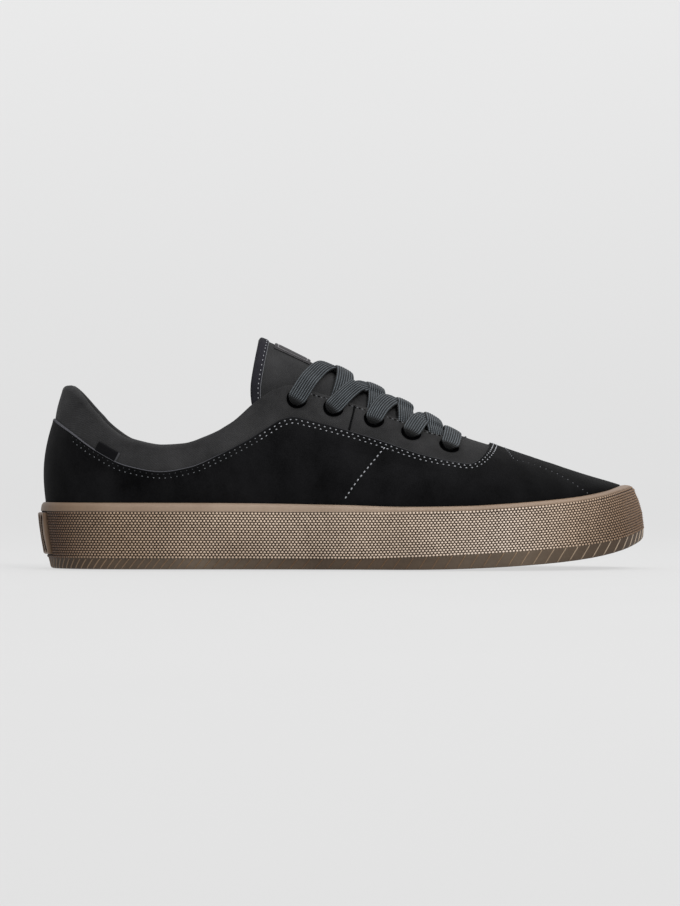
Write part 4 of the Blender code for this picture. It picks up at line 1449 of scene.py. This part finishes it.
def arch_frame(x, y):
    """Point and normal of the upper's outer surface at plan place (x, y), also over the open throat."""
    side = "outer" if y < spine_y(x) else "inner"
    share = min(abs(y - spine_y(x)) / half_width(x, side), 0.97)
    point, normal = surface_frame(x, angle_of_width(share, x), side)
    if share < 0.02:
        left, _ = surface_frame(x + 1e-3, math.pi / 2 - 1e-4, side)
        slope = (left - point).normalized()
        normal = Vector((-slope.z, 0, slope.x)).normalized()
    return point, normal


def tongue_frame(along, across):
    """Point over the tongue and its normal: along runs from its toe end to its free end."""
    share = tongue_toe_share + (tongue_top_share - tongue_toe_share) * along
    x = heel_x + share * sole_length
    # The free end stands square to the instep's slope, so its sides lie further back than its middle.
    fall = min(abs(across) * 1.3, 1.0) ** 2
    x -= tongue_lean * (1 - (1 - fall) ** 2) * ease(along) ** 2
    # The corners are rounded off.
    x += tongue_corner * max(abs(across) - 0.55, 0.0) ** 2 * ease(along) ** 2
    wide = tongue_share(share_of(x)) * sole_width / 2 * math.sin(across * tongue_turn)
    return arch_frame(x, spine_y(x) + wide)


def tongue_depths(along, across):
    """How deep the tongue's outer and inner faces lie under the upper's outer surface."""
    outside = wall_thickness + tongue_clearance
    padded = ease(min(1 - abs(across), 0.35) / 0.35) * ease(min(along, 1 - along) / 0.06 + 0.25)
    thick = tongue_edge_thickness + (tongue_thickness - tongue_edge_thickness) * padded
    return outside, outside + thick


def build_tongue():
    """Padded tongue whose free end is wrapped in a tape."""
    builder = bmesh.new()
    tape_starts = (1.12, 1.02)
    tape_steps = (0.98, 0.90, 0.7, 0.5, 0.35, 0.22, 0.12, 0.05, 0.0)
    alongs = list(np.linspace(0, 1 - 1.35 * binding_share, 44))
    alongs += [1 - binding_share * step for step in tape_starts + tape_steps]
    grids = ([], [])
    for along in alongs:
        rows = ([], [])
        for t in np.linspace(-1, 1, 57):
            across = math.sin(math.pi / 2 * t)
            place, normal = tongue_frame(along, across)
            outer, inner = tongue_depths(along, across)
            half = (inner - outer) / 2
            to_end = (1 - along) * tongue_run
            to_side = (math.sin(tongue_turn) - math.sin(abs(across) * tongue_turn)) * tongue_half
            near = min(to_end, to_side + 0.0001, along * tongue_run + 0.0003)
            size = half
            if near < half:
                size = half * math.sqrt(max(1 - (1 - near / half) ** 2, 0.0))
            if along > 1 - binding_share + 0.0002:
                in_tape = (1 - along) / binding_share
                size += binding_rise * math.sqrt(max(1 - (2 * in_tape - 1) ** 4, 0.0)) + 0.0001
            for row, sign in zip(rows, (-1, 1)):
                row.append(builder.verts.new(place - normal * ((outer + inner) / 2 + size * sign)))
        for grid, row in zip(grids, rows):
            grid.append(row)
    taped = len(alongs) - len(tape_steps)
    for grid in grids:
        grid_faces(builder, grid[:taped], 0)
        grid_faces(builder, grid[taped - 1:], 1)
    for column in (0, -1):
        grid_faces(builder, [[row[column] for row in grid] for grid in grids])
    grid_faces(builder, [grid[-1] for grid in grids], 1)
    grid_faces(builder, [grid[0] for grid in grids], 0)
    piece = add_piece("tongue_padded", builder, [tongue_cloth, binding_cloth])
    return piece


def build_tongue_label():
    """A plain woven label with a turned-in edge, between the tongue's free end and the first lace."""
    builder = bmesh.new()
    length_share = tongue_label_length / (sole_length * (tongue_toe_share - tongue_top_share))
    widest = tongue_rows[0][1] * sole_width / 2
    count_along, count_across = 36, 44
    grids = ([], [])
    inset = {}
    for face, grid in enumerate(grids):
        for k in range(count_along + 1):
            along = label_start - length_share * k / count_along
            row = []
            for i in range(count_across + 1):
                share = 2 * i / count_across - 1
                across = share * tongue_label_width / 2 / widest * label_narrowing
                across *= 1 - 0.08 * k / count_along
                place, normal = tongue_frame(along, across)
                edge = min(k, count_along - k) / count_along * tongue_label_length
                edge = min(edge, (1 - abs(share)) * tongue_label_width / 2)
                depth = tongue_depths(along, across)[0] - gap
                if face:
                    puff = label_thickness * (0.55 + 0.45 * ease(edge / 0.0008))
                    depth -= puff - 0.00022 * math.exp(-(((edge - 0.0016) / 0.0003) ** 2))
                row.append(builder.verts.new(place - normal * depth))
                inset[row[-1]] = edge * face
            grid.append(row)
    close_patch(builder, grids, lambda corner: 0.0010 < inset[corner] < 0.0021)
    return add_piece("tongue_label_plain", builder, [label_cloth, label_edge])


# Laces

def throat_half_width(x, side):
    """Half the opening between the eyestays."""
    wide, _ = section(edge_angle(foot_of(x, side), side), x)
    return wide * half_width(x, side)


def lace_height(x, y, under):
    """Height of a lace's middle over the upper's outer surface."""
    side = "outer" if y < spine_y(x) else "inner"
    inside = throat_half_width(x, side) - abs(y - spine_y(x))
    over_eyestay = -suede_thickness + gap * 2 + lace_thickness / 2
    over_tongue = -wall_thickness - tongue_clearance + gap * 2 + lace_thickness / 2
    if under:
        return over_tongue - lace_duck * ease(1 - inside / lace_duck_run)
    return over_eyestay + (over_tongue - over_eyestay) * ease((inside - lace_edge_run) / lace_dip)


def lace_plan(start, end, crest_share, keep, t):
    """Plan place on a lace between two eyelets. It crosses the ridge at a given place, still running on to
    the toe by the share keep of its first half's run."""
    wide = 0.5 - 0.5 * math.sin(math.pi * (0.5 - t) * lace_wrap) / math.sin(math.pi * lace_wrap / 2)
    y = start[1] + (end[1] - start[1]) * wide
    crest_x = heel_x + crest_share * sole_length
    lean = 2 * (crest_x - start[0]) * keep
    total = (8 * crest_x - start[0] - end[0]) / 3
    apart = lean / 0.75 - (end[0] - start[0])
    early, late = (total - apart) / 2, (total + apart) / 2
    back = 1 - t
    return start[0] * back**3 + 3 * early * t * back**2 + 3 * late * t * t * back + end[0] * t**3, y


class LaceRun:
    """A flat lace's middle line: it leaves its eyelet, passes the crest and ends under the far eyestay."""

    samples = 110

    def __init__(self, start, end, crest_share, keep, slack_share, both_ends, laid):
        self.both_ends = both_ends
        base = []
        for k in range(self.samples):
            t = k / (self.samples - 1)
            x, y = lace_plan(start, end, crest_share, keep, t)
            under = t > 0.5 and not both_ends
            slack = lace_slack * slack_share * math.sin(math.pi * t) ** 2
            base.append((*arch_frame(x, y), lace_height(x, y, under) + slack))
        self.ground = np.array([row[0] for row in base])
        self.normals = [row[1] for row in base]
        self.run = np.concatenate([[0], np.cumsum(np.linalg.norm(np.diff(self.ground, axis=0), axis=1))])
        heights = np.array([row[2] for row in base])
        self.heights = self.lay_over(heights, laid)
        self.places = [Vector(p) + n * h for p, n, h in zip(self.ground, self.normals, self.heights)]

    def lay_over(self, heights, laid):
        """Lift the lace where it crosses one that lies already."""
        needed = heights.copy()
        along = np.gradient(self.ground, axis=0)
        along /= np.linalg.norm(along, axis=1)[:, None]
        across = np.cross(along, np.array(self.normals))
        for other in laid[-2:]:
            for u in (-0.36, 0.0, 0.36):
                points = self.ground + across * u * lace_width
                apart = np.linalg.norm(points[:, None] - other.ground[None], axis=2)
                close = apart.argmin(axis=1)
                over = apart.min(axis=1) < lace_width * 0.42
                top = other.heights[close] + lace_thickness * 0.70
                needed = np.where(over, np.maximum(needed, top), needed)
        spacing = self.run[-1] / (self.samples - 1)
        reach = max(int(0.0016 / spacing), 1)
        padded = np.pad(needed, reach, mode="edge")
        widest = np.array([padded[k: k + 2 * reach + 1].max() for k in range(self.samples)])
        padded = np.pad(widest, reach, mode="edge")
        window = np.hanning(2 * reach + 3)[1:-1]
        smooth = np.array([(padded[k: k + 2 * reach + 1] * window).sum() for k in range(self.samples)])
        smooth /= window.sum()
        raised = widest > heights + 1e-6
        return np.where(raised, np.maximum(smooth, needed), np.maximum(smooth, heights))

    def at(self, distance):
        """Place, direction and normal at a distance from the start, also a little before it."""
        inside = min(max(distance, 0.0), self.run[-1])
        k = min(int(np.searchsorted(self.run, inside, side="right")) - 1, self.samples - 2)
        t = (inside - self.run[k]) / (self.run[k + 1] - self.run[k])
        place = self.places[k].lerp(self.places[k + 1], t)
        normal = self.normals[k].lerp(self.normals[k + 1], t).normalized()
        low, high = max(k - 1, 0), min(k + 2, self.samples - 1)
        tangent = (self.places[high] - self.places[low]).normalized()
        return place + tangent * (distance - inside), tangent, normal


def build_lace(name, lace, twist, seed):
    """A flat ribbed lace. At its eyelet it comes out of the hole in a round fold."""
    builder = bmesh.new()
    plan = builder.loops.layers.uv.new("plan")
    across_count = 45
    total = lace.run[-1]
    start = -lace_tip
    end = total + lace_tip if lace.both_ends else total - lace_hidden_run
    fold = [lace_fold * s for s in (0.0, 0.01, 0.03, 0.07, 0.13, 0.2, 0.3, 0.42, 0.56, 0.7, 0.85)]
    last = end - lace_fold if lace.both_ends else end
    distances = [start + step for step in fold] + list(np.linspace(start + lace_fold, last, 120))
    if lace.both_ends:
        distances += [end - step for step in reversed(fold)]
    half = lace_thickness * 0.40
    loops = []
    plans = []
    for distance in distances:
        place, tangent, normal = lace.at(distance)
        near = distance - start
        from_end = distance
        if lace.both_ends:
            near = min(near, end - distance)
            from_end = min(distance, total - distance)
        edge = min(near / lace_fold, 1.0)
        narrow = max(1 - (1 - edge) ** 2.5, 0.0003) ** (1 / 2.5)
        curl = lace_curl - math.sqrt(max(lace_curl**2 - max(lace_curl - near, 0.0) ** 2, 0.0))
        t = distance / total
        roll = twist * (math.sin(2 * math.pi * t + seed) + 0.5 * math.sin(5 * math.pi * t + seed * 3))
        across = Matrix.Rotation(roll, 3, tangent) @ tangent.cross(normal).normalized()
        upright = across.cross(tangent).normalized()
        width = lace_width * 1.04 * (0.97 + 0.03 * math.sin(9 * t + seed)) * narrow
        top, bottom, top_plan = [], [], []
        for i in range(across_count):
            u = 2 * i / (across_count - 1) - 1
            swell = math.sqrt(max(1 - abs(u) ** 5, 0.0))
            ribs = -lace_rib_height * math.cos(math.pi * lace_ribs * (u + 1))
            arch = lace_arch * (1 - u * u)
            high = half * swell + arch + ribs * swell * min(edge * 1.6, 1.0)
            base = place + across * (u * width / 2) - normal * (curl * (1 + 0.15 * u * u))
            top.append(builder.verts.new(base + upright * high))
            top_plan.append(((u + 1) / 2, from_end / 0.001))
            if 0 < i < across_count - 1:
                bottom.append(builder.verts.new(base - upright * (half * swell * 0.8 - arch)))
        loops.append(top + bottom[::-1])
        plans.append(top_plan + [(0.03, from_end / 0.001)] * len(bottom))
    where = {v: uv for ring, uvs in zip(loops, plans) for v, uv in zip(ring, uvs)}
    grid_faces(builder, loops, closed=True)
    cap_ends(builder, loops)
    bmesh.ops.recalc_face_normals(builder, faces=builder.faces)
    for face in builder.faces:
        for corner in face.loops:
            corner[plan].uv = where[corner.vert]
    return add_piece(name, builder, [lace_weave], turn_out=False)


def add_eyelet_shadow_ring(builder, lace, at_end=False):
    """A black disc at an eyelet, a painted shadow of its hole, which shows round the lace's fold."""
    centre, tangent, normal = lace.at(lace.run[-1] - lace_ring_shift if at_end else lace_ring_shift)
    across = tangent.cross(normal).normalized()
    rings = []
    for share, sink in ((0.0, 0.0), (0.6, 0.0), (0.88, 0.0), (1.0, 0.00035)):
        ring = []
        for k in range(36):
            turn = 2 * math.pi * k / 36
            spoke = tangent * (math.cos(turn) * 1.06) + across * math.sin(turn)
            place, up = skin.nearest(centre + spoke * lace_ring_radius * share)
            ring.append(builder.verts.new(place - up * (suede_thickness - eyelet_ring_rise + sink)))
        rings.append(ring)
    grid_faces(builder, rings, 0, closed=True)
    builder.faces.new(rings[0])


def build_laces():
    """Four crossings and a bar. Each lace lies over the ones before it."""
    outer = [point for point, _ in eyelets["outer"]]
    inner = [point for point, _ in eyelets["inner"]]
    made = {}
    laid = []
    for i, (_, _, from_outer, from_inner, outer_keep) in enumerate(eyelet_rows[:-1]):
        pieces = []
        for kind, a, b, crest, keep in (("under", outer[i], inner[i + 1], from_outer, outer_keep),
                                        ("over", inner[i], outer[i + 1], from_inner, 0.30)):
            slack_share = 2.2 if i == 0 and kind == "over" else 1.0
            lace = LaceRun(a, b, crest, keep, slack_share, False, laid)
            laid.append(lace)
            pieces.append(build_lace(f"lace_{i + 1}_{kind}", lace, lace_twist, len(laid)))
        made[f"lace_crossing_{i + 1}"] = pieces
    lace = LaceRun(outer[-1], inner[-1], eyelet_rows[-1][2], 0.0, 1.0, True, laid)
    laid.append(lace)
    made["lace_bar"] = [build_lace("lace_lowest_bar", lace, lace_bar_twist, 0)]
    # Black discs round the laces' folds, a painted shadow of the eyelet holes.
    builder = bmesh.new()
    for lace in laid:
        add_eyelet_shadow_ring(builder, lace)
    add_eyelet_shadow_ring(builder, laid[-1], at_end=True)
    add_piece("eyelet_shadow_rings", builder, [eyelet_painted_shadow])
    return made


# Insole

def build_insole():
    """Footbed with a heel cup and a soft top, under the collar's opening."""
    builder = bmesh.new()
    wall = wall_thickness + gap
    shares = list(np.linspace(0, 1, 121) - 0.07 * np.sin(2 * np.pi * np.linspace(0, 1, 121)))
    rings = []
    for extra, level in footbed_rows:
        sides = feather_sides(gap + wall + extra)
        out = resample(sides["outer"], shares)
        back = resample(sides["inner"], shares)
        plan = np.vstack([out, back[-2:0:-1]])
        rings.append(
            [builder.verts.new((x, y, cup_floor(x) + gap + insole_thickness * level)) for x, y in plan]
        )
    grid_faces(builder, rings, closed=True)
    ring = rings[-1]
    count = len(ring)
    for i in range(count // 2):
        corners = [ring[i], ring[i + 1], ring[(count - i - 1) % count], ring[(count - i) % count]]
        loop = list(dict.fromkeys(corners))
        if len(loop) > 2:
            builder.faces.new(loop)
    return add_piece("footbed", builder, [footbed_cloth])


# Side tag

def build_side_tag():
    """A small blank folded tag that stands in the seam under the collar, on the outer side."""
    builder = bmesh.new()
    count_along, count_up = 30, 12
    start, end = (heel_x + share * sole_length for share in (side_tag_start_share, side_tag_end_share))
    low, high = (collar_height * suede_share(share_of(x)) for x in (start, end))
    along = Vector((end - start, 0, high - low)).normalized()
    upright = Vector((-along.z, 0, along.x))
    grids = ([], [])
    for face, grid in enumerate(grids):
        for k in range(count_up + 1):
            row = []
            for i in range(count_along + 1):
                place = Vector((start, 0, low)) + along * side_tag_length * 1.06 * i / count_along
                place += upright * ((side_tag_width + 0.0014) * k / count_up - 0.0006)
                point, normal = skin.from_side(place.x, place.z, "outer")
                edge = min(k, count_up - k, i * 0.5, (count_along - i) * 0.5) / 1.5
                lift = label_thickness * (0.5 + 0.5 * ease(edge)) * face + 0.0006 * k / count_up
                row.append(builder.verts.new(point + normal * (lift + gap - suede_thickness + 0.0002)))
            grid.append(row)
    fold = {corner for row in grids[1] for corner in row[-3:]}
    close_patch(builder, grids, lambda corner: corner in fold)
    return add_piece("side_tag_blank", builder, [tag_cloth, tag_edge])


# Stitches

def lay_stitches(builder, line, pitch, length, radius, rise=0.0, start=0.0, zone=(-1.0, 1.0), material=0):
    """Stitches at an even pitch on a line over the skin, only between the zone's two values of x."""
    for place, along in even_places(line, pitch, start):
        if not zone[0] < place.x <= zone[1]:
            continue
        point, normal = skin.nearest(place)
        wobble = Vector([random.uniform(-1, 1) for _ in range(3)]) * stitch_wobble
        along = (along - normal * along.dot(normal)).normalized()
        capsule(builder, point + normal * rise + wobble, along, normal, length, radius, material)


def build_stitches():
    """Two rows along the suede's edge and the quarter's seam, then the quieter rows."""
    builder = bmesh.new()
    # The suede edge's rows turn grey and dim towards the heel: painted shade on the pale thread.
    for distance, start, own in edge_stitch_rows:
        line = offset_line(suede_line, distance)
        for end_x, start_x, length, thick, rise, material in edge_stitch_zones:
            shade = own if material is None else material
            lay_stitches(builder, line, edge_stitch_pitch, length, stitch_radius * thick, rise, start,
                         (end_x, start_x), shade)
    for path in quarter_seams.values():
        line = [skin.nearest(place)[0] for place in path]
        lay_stitches(builder, line, seam_stitch_pitch, 0.0015, stitch_radius, -0.0001, 0.0008)
    add_piece("stitches_pale", builder, [pale_thread, grey_thread, pale_thread_shaded])

    builder = bmesh.new()
    lay_stitches(builder, toe_cap_seam, toe_cap_stitch_pitch, 0.0009, stitch_radius * 0.75, -0.00008)
    top = skin.rows - 1
    outer, inner = ([skin.points[side, i, top] for i in range(throat_station + 1)] for side in SIDES)
    line = offset_line(outer + inner[::-1], 0.0016)
    sunk = 0.0001 - suede_thickness
    zone = (eyestay_stitch_x, 1.0)
    lay_stitches(builder, line, seam_stitch_pitch, 0.0010, stitch_radius * 0.75, sunk, 0.0, zone)
    lay_stitches(builder, line, seam_stitch_pitch, 0.0016, stitch_radius * 1.2, sunk, 0.0013, zone, 1)
    for path in eyestay_seams.values():
        strand = [skin.nearest(place) for place in path[::4]]
        line = [place - normal * (suede_thickness + 0.0001) for place, normal in strand]
        tube(builder, line, [normal for _, normal in strand], stitch_radius * 1.25, 1)
    add_piece("stitches_grey", builder, [grey_thread, dark_thread])


def build_tongue_stitches():
    """One row of stitches along the tape, and the tape's pale inner edge."""
    builder = bmesh.new()
    lines = []
    for inset, rise in ((0.24, binding_rise), (0.0, binding_rise * 0.25)):
        along = 1 - binding_share * (1 - inset)
        line = []
        for across in np.linspace(-0.9, 0.9, 160):
            place, normal = tongue_frame(along, float(across))
            outer, _ = tongue_depths(along, float(across))
            line.append((place - normal * (outer - rise - 0.0001), normal))
        lines.append(line)
    stitched, edge = lines
    run, last_run = 0.0, -1.0
    for (a, normal), (b, _) in zip(stitched, stitched[1:]):
        run += (b - a).length
        if run - last_run >= tongue_stitch_pitch:
            capsule(builder, a, (b - a).normalized(), normal, 0.0010, stitch_radius * 0.68)
            last_run = run
    tube(builder, [place for place, _ in edge], [normal for _, normal in edge], tape_edge_radius, 1)
    add_piece("tongue_stitches", builder, [pale_thread, grey_thread])


# Rubber sidewall

def sidewall_inset(v):
    """The sidewall's inset shares at a share of its height."""
    for low, high in zip(sidewall_rows, sidewall_rows[1:]):
        if v <= high[0]:
            t = (v - low[0]) / (high[0] - low[0])
            return tuple(a + (b - a) * t for a, b in zip(low, high))
    return sidewall_rows[-1]


class Wall:
    """The sidewall's surface: by the distance round the outline and the share of its height."""

    def __init__(self):
        ring = np.vstack([outer_outline, inner_outline[-2:0:-1]])
        closed = np.vstack([ring, ring[:1]])
        lengths = np.concatenate([[0], np.cumsum(np.linalg.norm(np.diff(closed, axis=0), axis=1))])
        self.length = lengths[-1]
        self.lengths = lengths
        self.closed = closed
        tangents = np.gradient(closed, axis=0)
        tangents[0] = tangents[-1] = tangents[0] + tangents[-1]
        tangents /= np.linalg.norm(tangents, axis=1)[:, None]
        # The ring runs heel, outer side, toe, inner side, so the shoe's inside is on its left.
        self.inward = np.stack([-tangents[:, 1], tangents[:, 0]], axis=1)

    def around(self, run, rows):
        return np.array([np.interp(run % self.length, self.lengths, rows[:, k]) for k in (0, 1)])

    def at(self, run, v, proud=0.0):
        """A point on the sidewall: run is the distance round the outline, v the share of height."""
        x, y = self.around(run, self.closed)
        inward = self.around(run, self.inward)
        inward /= np.linalg.norm(inward)
        _, at_side, at_heel, at_toe = sidewall_inset(v)
        at_side *= rim_width
        at_heel *= heel_rim_width
        at_toe *= toe_rim_width
        heel, toe = end_weights(x)
        amount = at_side + (at_heel - at_side) * heel + (at_toe - at_side) * toe - proud
        x += inward[0] * amount
        y += inward[1] * amount
        low = ground(x)
        return Vector((x, y, low + (rim_height(x) - low) * v))

    def frame_at(self, run, v, proud=0.0):
        here = self.at(run, v, proud)
        along = (self.at(run + 0.0008, v, proud) - self.at(run - 0.0008, v, proud)).normalized()
        step = 0.02
        up = (self.at(run, min(v + step, 1), proud) - self.at(run, max(v - step, 0), proud)).normalized()
        normal = up.cross(along).normalized()
        inward = self.around(run, self.inward)
        if normal.x * inward[0] + normal.y * inward[1] > 0:
            normal = -normal
        return here, along, up, normal


wall = Wall()


def build_sidewall():
    """A thin skin over the sole's side: tread band, sunk band for the pebbles, smooth rim."""
    builder = bmesh.new()
    columns, sunk_rows = 520, 15
    runs = [wall.length * i / columns for i in range(columns)]
    ends = []
    for run in runs:
        share = share_of(wall.at(run, 0.5).x)
        ends.append((tread_share(share), band_share(share)))
    rows = [[(tread * step, 0.0) for tread, _ in ends] for step in (0.02, 0.18, 0.36, 0.54, 0.72, 0.88, 1.0)]
    rows.append([(tread * tread_lip, -0.00006) for tread, _ in ends])
    tread_count = len(rows)
    for k in range(1, sunk_rows + 1):
        row = []
        for tread, band in ends:
            low, top = tread * tread_lip, band - 0.006
            row.append((low + (top - low) * k / sunk_rows, -0.00005))
        rows.append(row)
    for step, proud in rim_skin_rows:
        rows.append([(band + (1 - band) * step, proud) for _, band in ends])
    grid = []
    for row in rows:
        line = []
        for run, (v, proud) in zip(runs, row):
            line.append(builder.verts.new(wall.at(run, v, sidewall_cover + proud)))
        grid.append(line)
    rim_start = tread_count + sunk_rows
    grid_faces(builder, grid[:tread_count], 2, closed=True)
    # The sunk band under the pebbles is dark rubber, painted shade in the gaps between them.
    grid_faces(builder, grid[tread_count - 1: rim_start + 1], 1, closed=True)
    grid_faces(builder, grid[rim_start:], 0, closed=True)
    add_piece("sidewall_skin", builder, [gum_rim, gum_recess_shade, gum_shade])


def build_pebbles():
    """Rows of small staggered bumps between the tread band and the smooth rim."""
    builder = bmesh.new()
    per_row = int(wall.length / pebble_pitch)
    pitch = wall.length / per_row
    rows = int(sidewall_height * (band_share(0.3) - tread_share(0.3) - 0.012) / pebble_row_pitch)
    for r in range(rows + 1):
        for c in range(per_row):
            run = (c + 0.5 * (r % 2)) * pitch
            x = wall.at(run, 0.5).x
            top = band_share(share_of(x)) - 0.022
            low = tread_share(share_of(x)) + 0.018
            v = low + (top - low) * r / rows
            here, along, up, normal = wall.frame_at(run, v, 0.00008)
            if on_heel_plate(run, here.z):
                continue
            tall = (rim_height(x) - ground(x)) * (top - low) / rows / pebble_row_pitch
            wide = pitch * 0.515 * random.uniform(0.93, 1.05)
            high = pebble_row_pitch * 0.58 * tall * random.uniform(0.93, 1.05)
            rise = pebble_height * random.uniform(0.85, 1.1)
            crown = builder.verts.new(here + normal * rise)
            shoulder, foot = [], []
            for k in range(6):
                turn = math.pi * (k / 3 + 1 / 6)
                spoke = along * (math.cos(turn) * wide) + up * (math.sin(turn) * high)
                shoulder.append(builder.verts.new(here + spoke * 0.72 + normal * rise * 0.66))
                foot.append(builder.verts.new(here + spoke - normal * 0.00010))
            # Crowns take the bright rubber, a painted highlight; flanks take the dark one, painted shade.
            for k in range(6):
                after = (k + 1) % 6
                builder.faces.new([crown, shoulder[k], shoulder[after]])
                builder.faces.new([shoulder[k], foot[k], foot[after], shoulder[after]]).material_index = 1
    add_piece("sidewall_pebbles", builder, [gum, gum_flank_shade])


def on_heel_plate(run, height):
    """Whether a place on the sidewall lies under the heel plate."""
    around = min(run % wall.length, wall.length - run % wall.length)
    if around >= plate_width / 2 + plate_side_margin:
        return False
    return plate_low - plate_end_margin < height < plate_high + plate_end_margin


def build_tread_ribs():
    """Thin slanted ribs on the tread band, in a lighter copy of the rubber that is a painted highlight."""
    builder = bmesh.new()
    runs = [0.0]
    while runs[-1] < wall.length:
        share = share_of(wall.at(runs[-1], 0.1).x)
        runs.append(runs[-1] + heel_rib_pitch + (rib_pitch - heel_rib_pitch) * ease((share - 0.15) / 0.35))
    for run in runs[:-1]:
        forward = 1 if run < wall.length / 2 else -1
        tread = tread_share(share_of(wall.at(run, 0.1).x))
        path, normals = [], []
        for t in np.linspace(0, 1, 6):
            v = 0.012 + (tread - 0.018) * t
            here, _, _, normal = wall.frame_at(run + forward * rib_lean * (t - 0.5), v, 0.00010)
            path.append(here)
            normals.append(normal)
        tube(builder, path, normals, rib_radius)
    add_piece("tread_ribs", builder, [gum_rib_highlight])


def slot_depth_at(along, height):
    """Depth of the heel plate's slanted slots: two rows that lean opposite ways."""
    pitch = (plate_width - 2 * plate_frame) / plate_slots
    middle = (plate_low + plate_high) / 2
    deepest = 0.0
    for level, low in enumerate((plate_low + plate_frame, middle + plate_frame / 4)):
        high = low + (plate_high - plate_low - 2.5 * plate_frame) / 2
        slant = pitch * 0.45 * (1 if level else -1)
        inside = min(max(height, low), high)
        shift = slant * ((inside - low) / (high - low) - 0.5)
        for i in range(plate_slots):
            centre = -plate_width / 2 + plate_frame + pitch * (i + 0.5) + shift
            reach = math.hypot(along - centre, height - inside)
            deepest = max(deepest, ease((plate_slot_width / 2 + 0.0002 - reach) / 0.0004))
    return plate_slot_depth * deepest


def build_heel_plate():
    """The raised plate round the back of the sole, with a soft border and deep slots."""
    builder = bmesh.new()
    columns, levels = 160, 110
    grid = []
    deep = {}
    for k in range(-1, levels + 2):
        row = []
        for i in range(-1, columns + 2):
            along = plate_width * (min(max(i, 0), columns) / columns - 0.5)
            height = plate_low + (plate_high - plate_low) * min(max(k, 0), levels) / levels
            proud, slot = 0.00010, 0.0
            if 0 <= i <= columns and 0 <= k <= levels:
                edge = min(plate_width / 2 - abs(along), height - plate_low, plate_high - height)
                soft = 1 - min(edge / 0.0007, 1)
                slot = slot_depth_at(along, height)
                proud = plate_thickness - 0.0006 * soft**2 - slot
            x = wall.at(along, 0.5).x
            v = (height - ground(x)) / (rim_height(x) - ground(x))
            corner = builder.verts.new(wall.at(along, v, proud))
            deep[corner] = slot
            row.append(corner)
        grid.append(row)
    grid_faces(builder, grid, 0)
    # Faces deep in the slots take the near-black rubber, painted shade.
    for face in builder.faces:
        depths = [deep[corner] for corner in face.verts]
        face.material_index = 1 if sum(depths) / len(depths) > 0.16 * plate_slot_depth else 0
    return add_piece("heel_plate_relief", builder, [gum_rim, slot_painted_shade])


# Camera, light and floor

def add_area_light(name, place, target, size, power, colour=(1, 1, 1)):
    data = bpy.data.lights.new(name, "AREA")
    data.shape = "RECTANGLE"
    data.size, data.size_y = size
    data.energy = power
    data.color = colour
    light = bpy.data.objects.new(name, data)
    light.location = place
    light.rotation_euler = (Vector(target) - Vector(place)).to_track_quat("-Z", "Y").to_euler()
    bpy.context.scene.collection.objects.link(light)


def build_floor():
    """Pale paper that turns up behind the shoe. It glows a little, so that it stays even."""
    nodes = Nodes("floor_paper")
    tone = nodes.ramp(nodes.noise(3.0, 2, 0.5), [(0.3, grey(0.118)), (0.7, grey(0.122))])
    glow = nodes.ramp(nodes.split(nodes.coordinates)["Z"], [(0.0, grey(0.585)), (0.6, grey(0.722))])
    nodes.feed(nodes.shader, {"Emission Color": glow, "Emission Strength": 1})
    profile = [(-3.2, 0.0), (-2.0, 0.0), (0.0, 0.0), (floor_bend, 0.0)]
    for k in range(1, 13):
        turn = math.pi / 2 * k / 12
        profile.append((floor_bend * (1 + math.sin(turn)), floor_bend * (1 - math.cos(turn))))
    profile.append((2 * floor_bend, 3.5))
    builder = bmesh.new()
    grid = [[builder.verts.new((x, y, z - floor_drop)) for x in (-4, -1, 1, 4)] for y, z in profile]
    grid_faces(builder, grid)
    mesh = bpy.data.meshes.new("floor")
    builder.to_mesh(mesh)
    builder.free()
    mesh.shade_smooth()
    mesh.materials.append(nodes.finish(tone, 0.95, 0.1))
    floor = bpy.data.objects.new("floor", mesh)
    bpy.context.scene.collection.objects.link(floor)


def build_stage():
    scene = bpy.context.scene
    camera_data = bpy.data.cameras.new("camera")
    camera_data.lens = 201
    camera_data.sensor_width = 36
    camera_data.clip_end = 50
    camera = bpy.data.objects.new("camera", camera_data)
    camera.location = (-0.0002, -2.5008, 0.0567)
    camera.rotation_euler = (math.radians(90), 0, 0)
    scene.collection.objects.link(camera)
    scene.camera = camera

    scene.world = bpy.data.worlds.new("studio")
    scene.world.use_nodes = True
    background = scene.world.node_tree.nodes["Background"]
    background.inputs["Color"].default_value = (0.95, 0.97, 1.0, 1)
    background.inputs["Strength"].default_value = 0.42
    scene.view_settings.view_transform = "Standard"
    add_area_light("key", (1.25, -2.1, 1.9), (0.03, 0, 0.03), (1.0, 1.0), 52, (1.0, 0.985, 0.965))
    add_area_light("top", (0.1, 0.15, 2.0), (0, 0, 0), (2.6, 2.0), 30)
    build_floor()


def main():
    build_stage()
    build_suede()
    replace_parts(build_shell(), "upper")
    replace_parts(build_tongue(), "tongue")
    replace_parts(build_tongue_label(), "tongue_label")
    for node, pieces in build_laces().items():
        for piece in pieces:
            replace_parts(piece, node)
    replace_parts(build_insole(), "insole")
    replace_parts(build_side_tag(), "side_tag")
    build_stitches()
    build_tongue_stitches()
    build_sidewall()
    build_pebbles()
    build_tread_ribs()
    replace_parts(build_heel_plate(), "heel_plate")
    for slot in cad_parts["sole"].material_slots:
        slot.material = sole_rubber


main()
